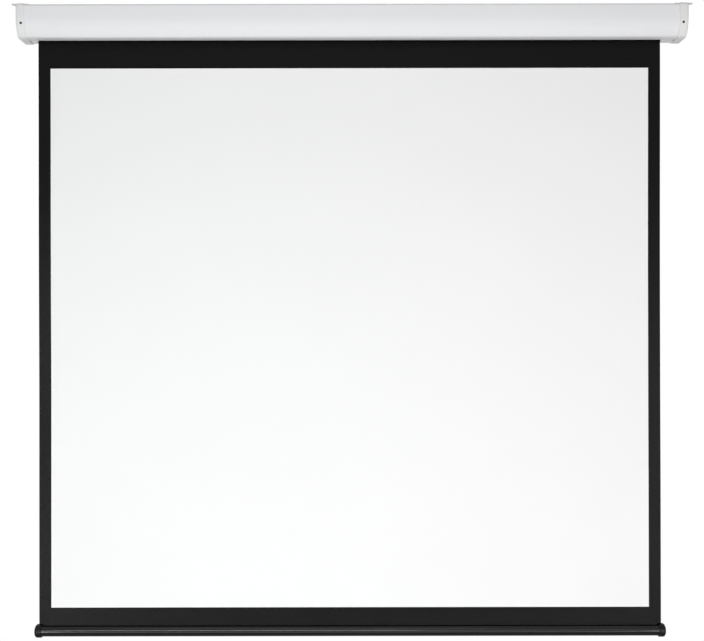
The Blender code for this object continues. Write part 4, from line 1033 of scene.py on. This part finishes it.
def woven(name, colour, roughness, shine=0.5):
    """Coated glass fibre cloth: a plain weave that just shows through the coating."""
    paint = Paint(name, IOR=1.45, Specular_IOR_Level=shine)
    where = paint.node("TexCoord", out="UV")
    threads = []
    for way in ("X", "Y"):
        along = paint.node("SeparateXYZ", None, {"Vector": where}, out=way)
        threads.append(paint.node("Math", {"operation": "SINE"}, {0: along * (math.tau / WEAVE)}))
    warp, weft = threads
    paint.feed(Base_Color=paint.blend(paint.noise(where, 2.5, 3.0), darker(colour, 0.975), colour),
               Roughness=varied(paint, where, 8, roughness, 0.04),
               Normal=paint.bump(warp * weft * 0.5 + 0.5, 0.00006, 0.6))
    return paint.material


ALONG_X = (0.02, 1, 1)
PAINTS = {
    "white_paint": coated("white_paint", rgb(234, 235, 237), 0.55),
    "white_steel": coated("white_steel", rgb(226, 227, 228), 0.45, 900),
    "black_metal": coated("black_metal", rgb(7, 7, 9), 0.14, 1100, 0.000008, 0.28),
    "white_plastic": moulded("white_plastic", rgb(232, 232, 232), 0.5),
    "black_plastic": moulded("black_plastic", rgb(12, 12, 12), 0.3, shine=0.2),
    "grey_plastic": moulded("grey_plastic", rgb(124, 124, 126), 0.5),
    "natural_plastic": moulded("natural_plastic", rgb(224, 221, 212), 0.38),
    "yellow_plastic": moulded("yellow_plastic", rgb(222, 184, 52), 0.42),
    "zinc_steel": metal("zinc_steel", rgb(200, 201, 198), 0.36, mottle=180),
    "bright_steel": metal("bright_steel", rgb(205, 206, 208), 0.24, ALONG_X),
    "black_steel": metal("black_steel", rgb(60, 60, 62), 0.42, mottle=90),
    "aluminium": metal("aluminium", rgb(214, 215, 218), 0.34, ALONG_X),
    "screen_cloth": woven("screen_cloth", rgb(245, 245, 245), 0.86),
    "black_cloth": woven("black_cloth", rgb(5, 5, 6), 0.30, shine=0.11),
}
print("finishes:", len(PAINTS))

# %% [markdown]
# Now every new piece gets its finish and its body, and the CAD nodes that it stands for are hidden. The hanging
# sheet has two finishes.
# The CAD nodes that stay get the finish that the record names for them.

# %% Dress the part
HOUSING, ROLLER, BAR = "housing", "roller", "bottom_bar"


def finished(piece, body, slot, *nodes):
    """Gives a piece its material and body, and hides the CAD nodes that it stands for."""
    piece.data.materials.clear()
    piece.data.materials.append(PAINTS[slot])
    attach(piece, body)
    if nodes:
        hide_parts(*nodes)
    low = [min(v.co[i] for v in piece.data.vertices) for i in range(3)]
    high = [max(v.co[i] for v in piece.data.vertices) for i in range(3)]
    print(piece.name, "faces", len(piece.data.polygons), "from", [round(v, 4) for v in low],
          "to", [round(v, 4) for v in high])


finished(case, HOUSING, "white_paint", "housing_shell")
finished(cap_left, HOUSING, "white_plastic", "end_cap_left")
finished(cap_right, HOUSING, "white_plastic", "end_cap_right")
for word, plate in plates.items():
    finished(plate, HOUSING, "white_steel", "hanger_plate_" + word)
    finished(pan_screws[word], HOUSING, "black_steel", "cap_screw_" + word)
for (word, place), piece in flat_screws.items():
    finished(piece, HOUSING, "zinc_steel", f"hanger_screw_{word}_{place}")
finished(roll, ROLLER, "black_cloth", "wound_turns")
finished(hem, BAR, "black_cloth", "hem_loop")
finished(foot, BAR, "black_cloth")
finished(bar_tube, BAR, "black_metal", "bottom_bar_tube")
for word, piece in bar_caps.items():
    finished(piece, BAR, "black_plastic", "bar_cap_" + word)
finished(gland, HOUSING, "black_plastic", "cable_gland")
finished(sheet, HOUSING, "screen_cloth", "screen_sheet")

sheet.data.materials.clear()
for name in ("black_cloth", "screen_cloth"):
    sheet.data.materials.append(PAINTS[name])
for face in sheet.data.polygons:
    x, y, z = face.center
    inside = WHITE_LEFT < x < WHITE_RIGHT and WHITE_LOW < z < WHITE_HIGH
    face.material_index = 1 if inside and face.normal.y < -0.5 else 0
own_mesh(sheet)

for row in frame["record"]["subparts"]:
    node = bpy.data.objects[row["node"]]
    node.data.materials.clear()
    node.data.materials.append(PAINTS[row["material_slot"]])
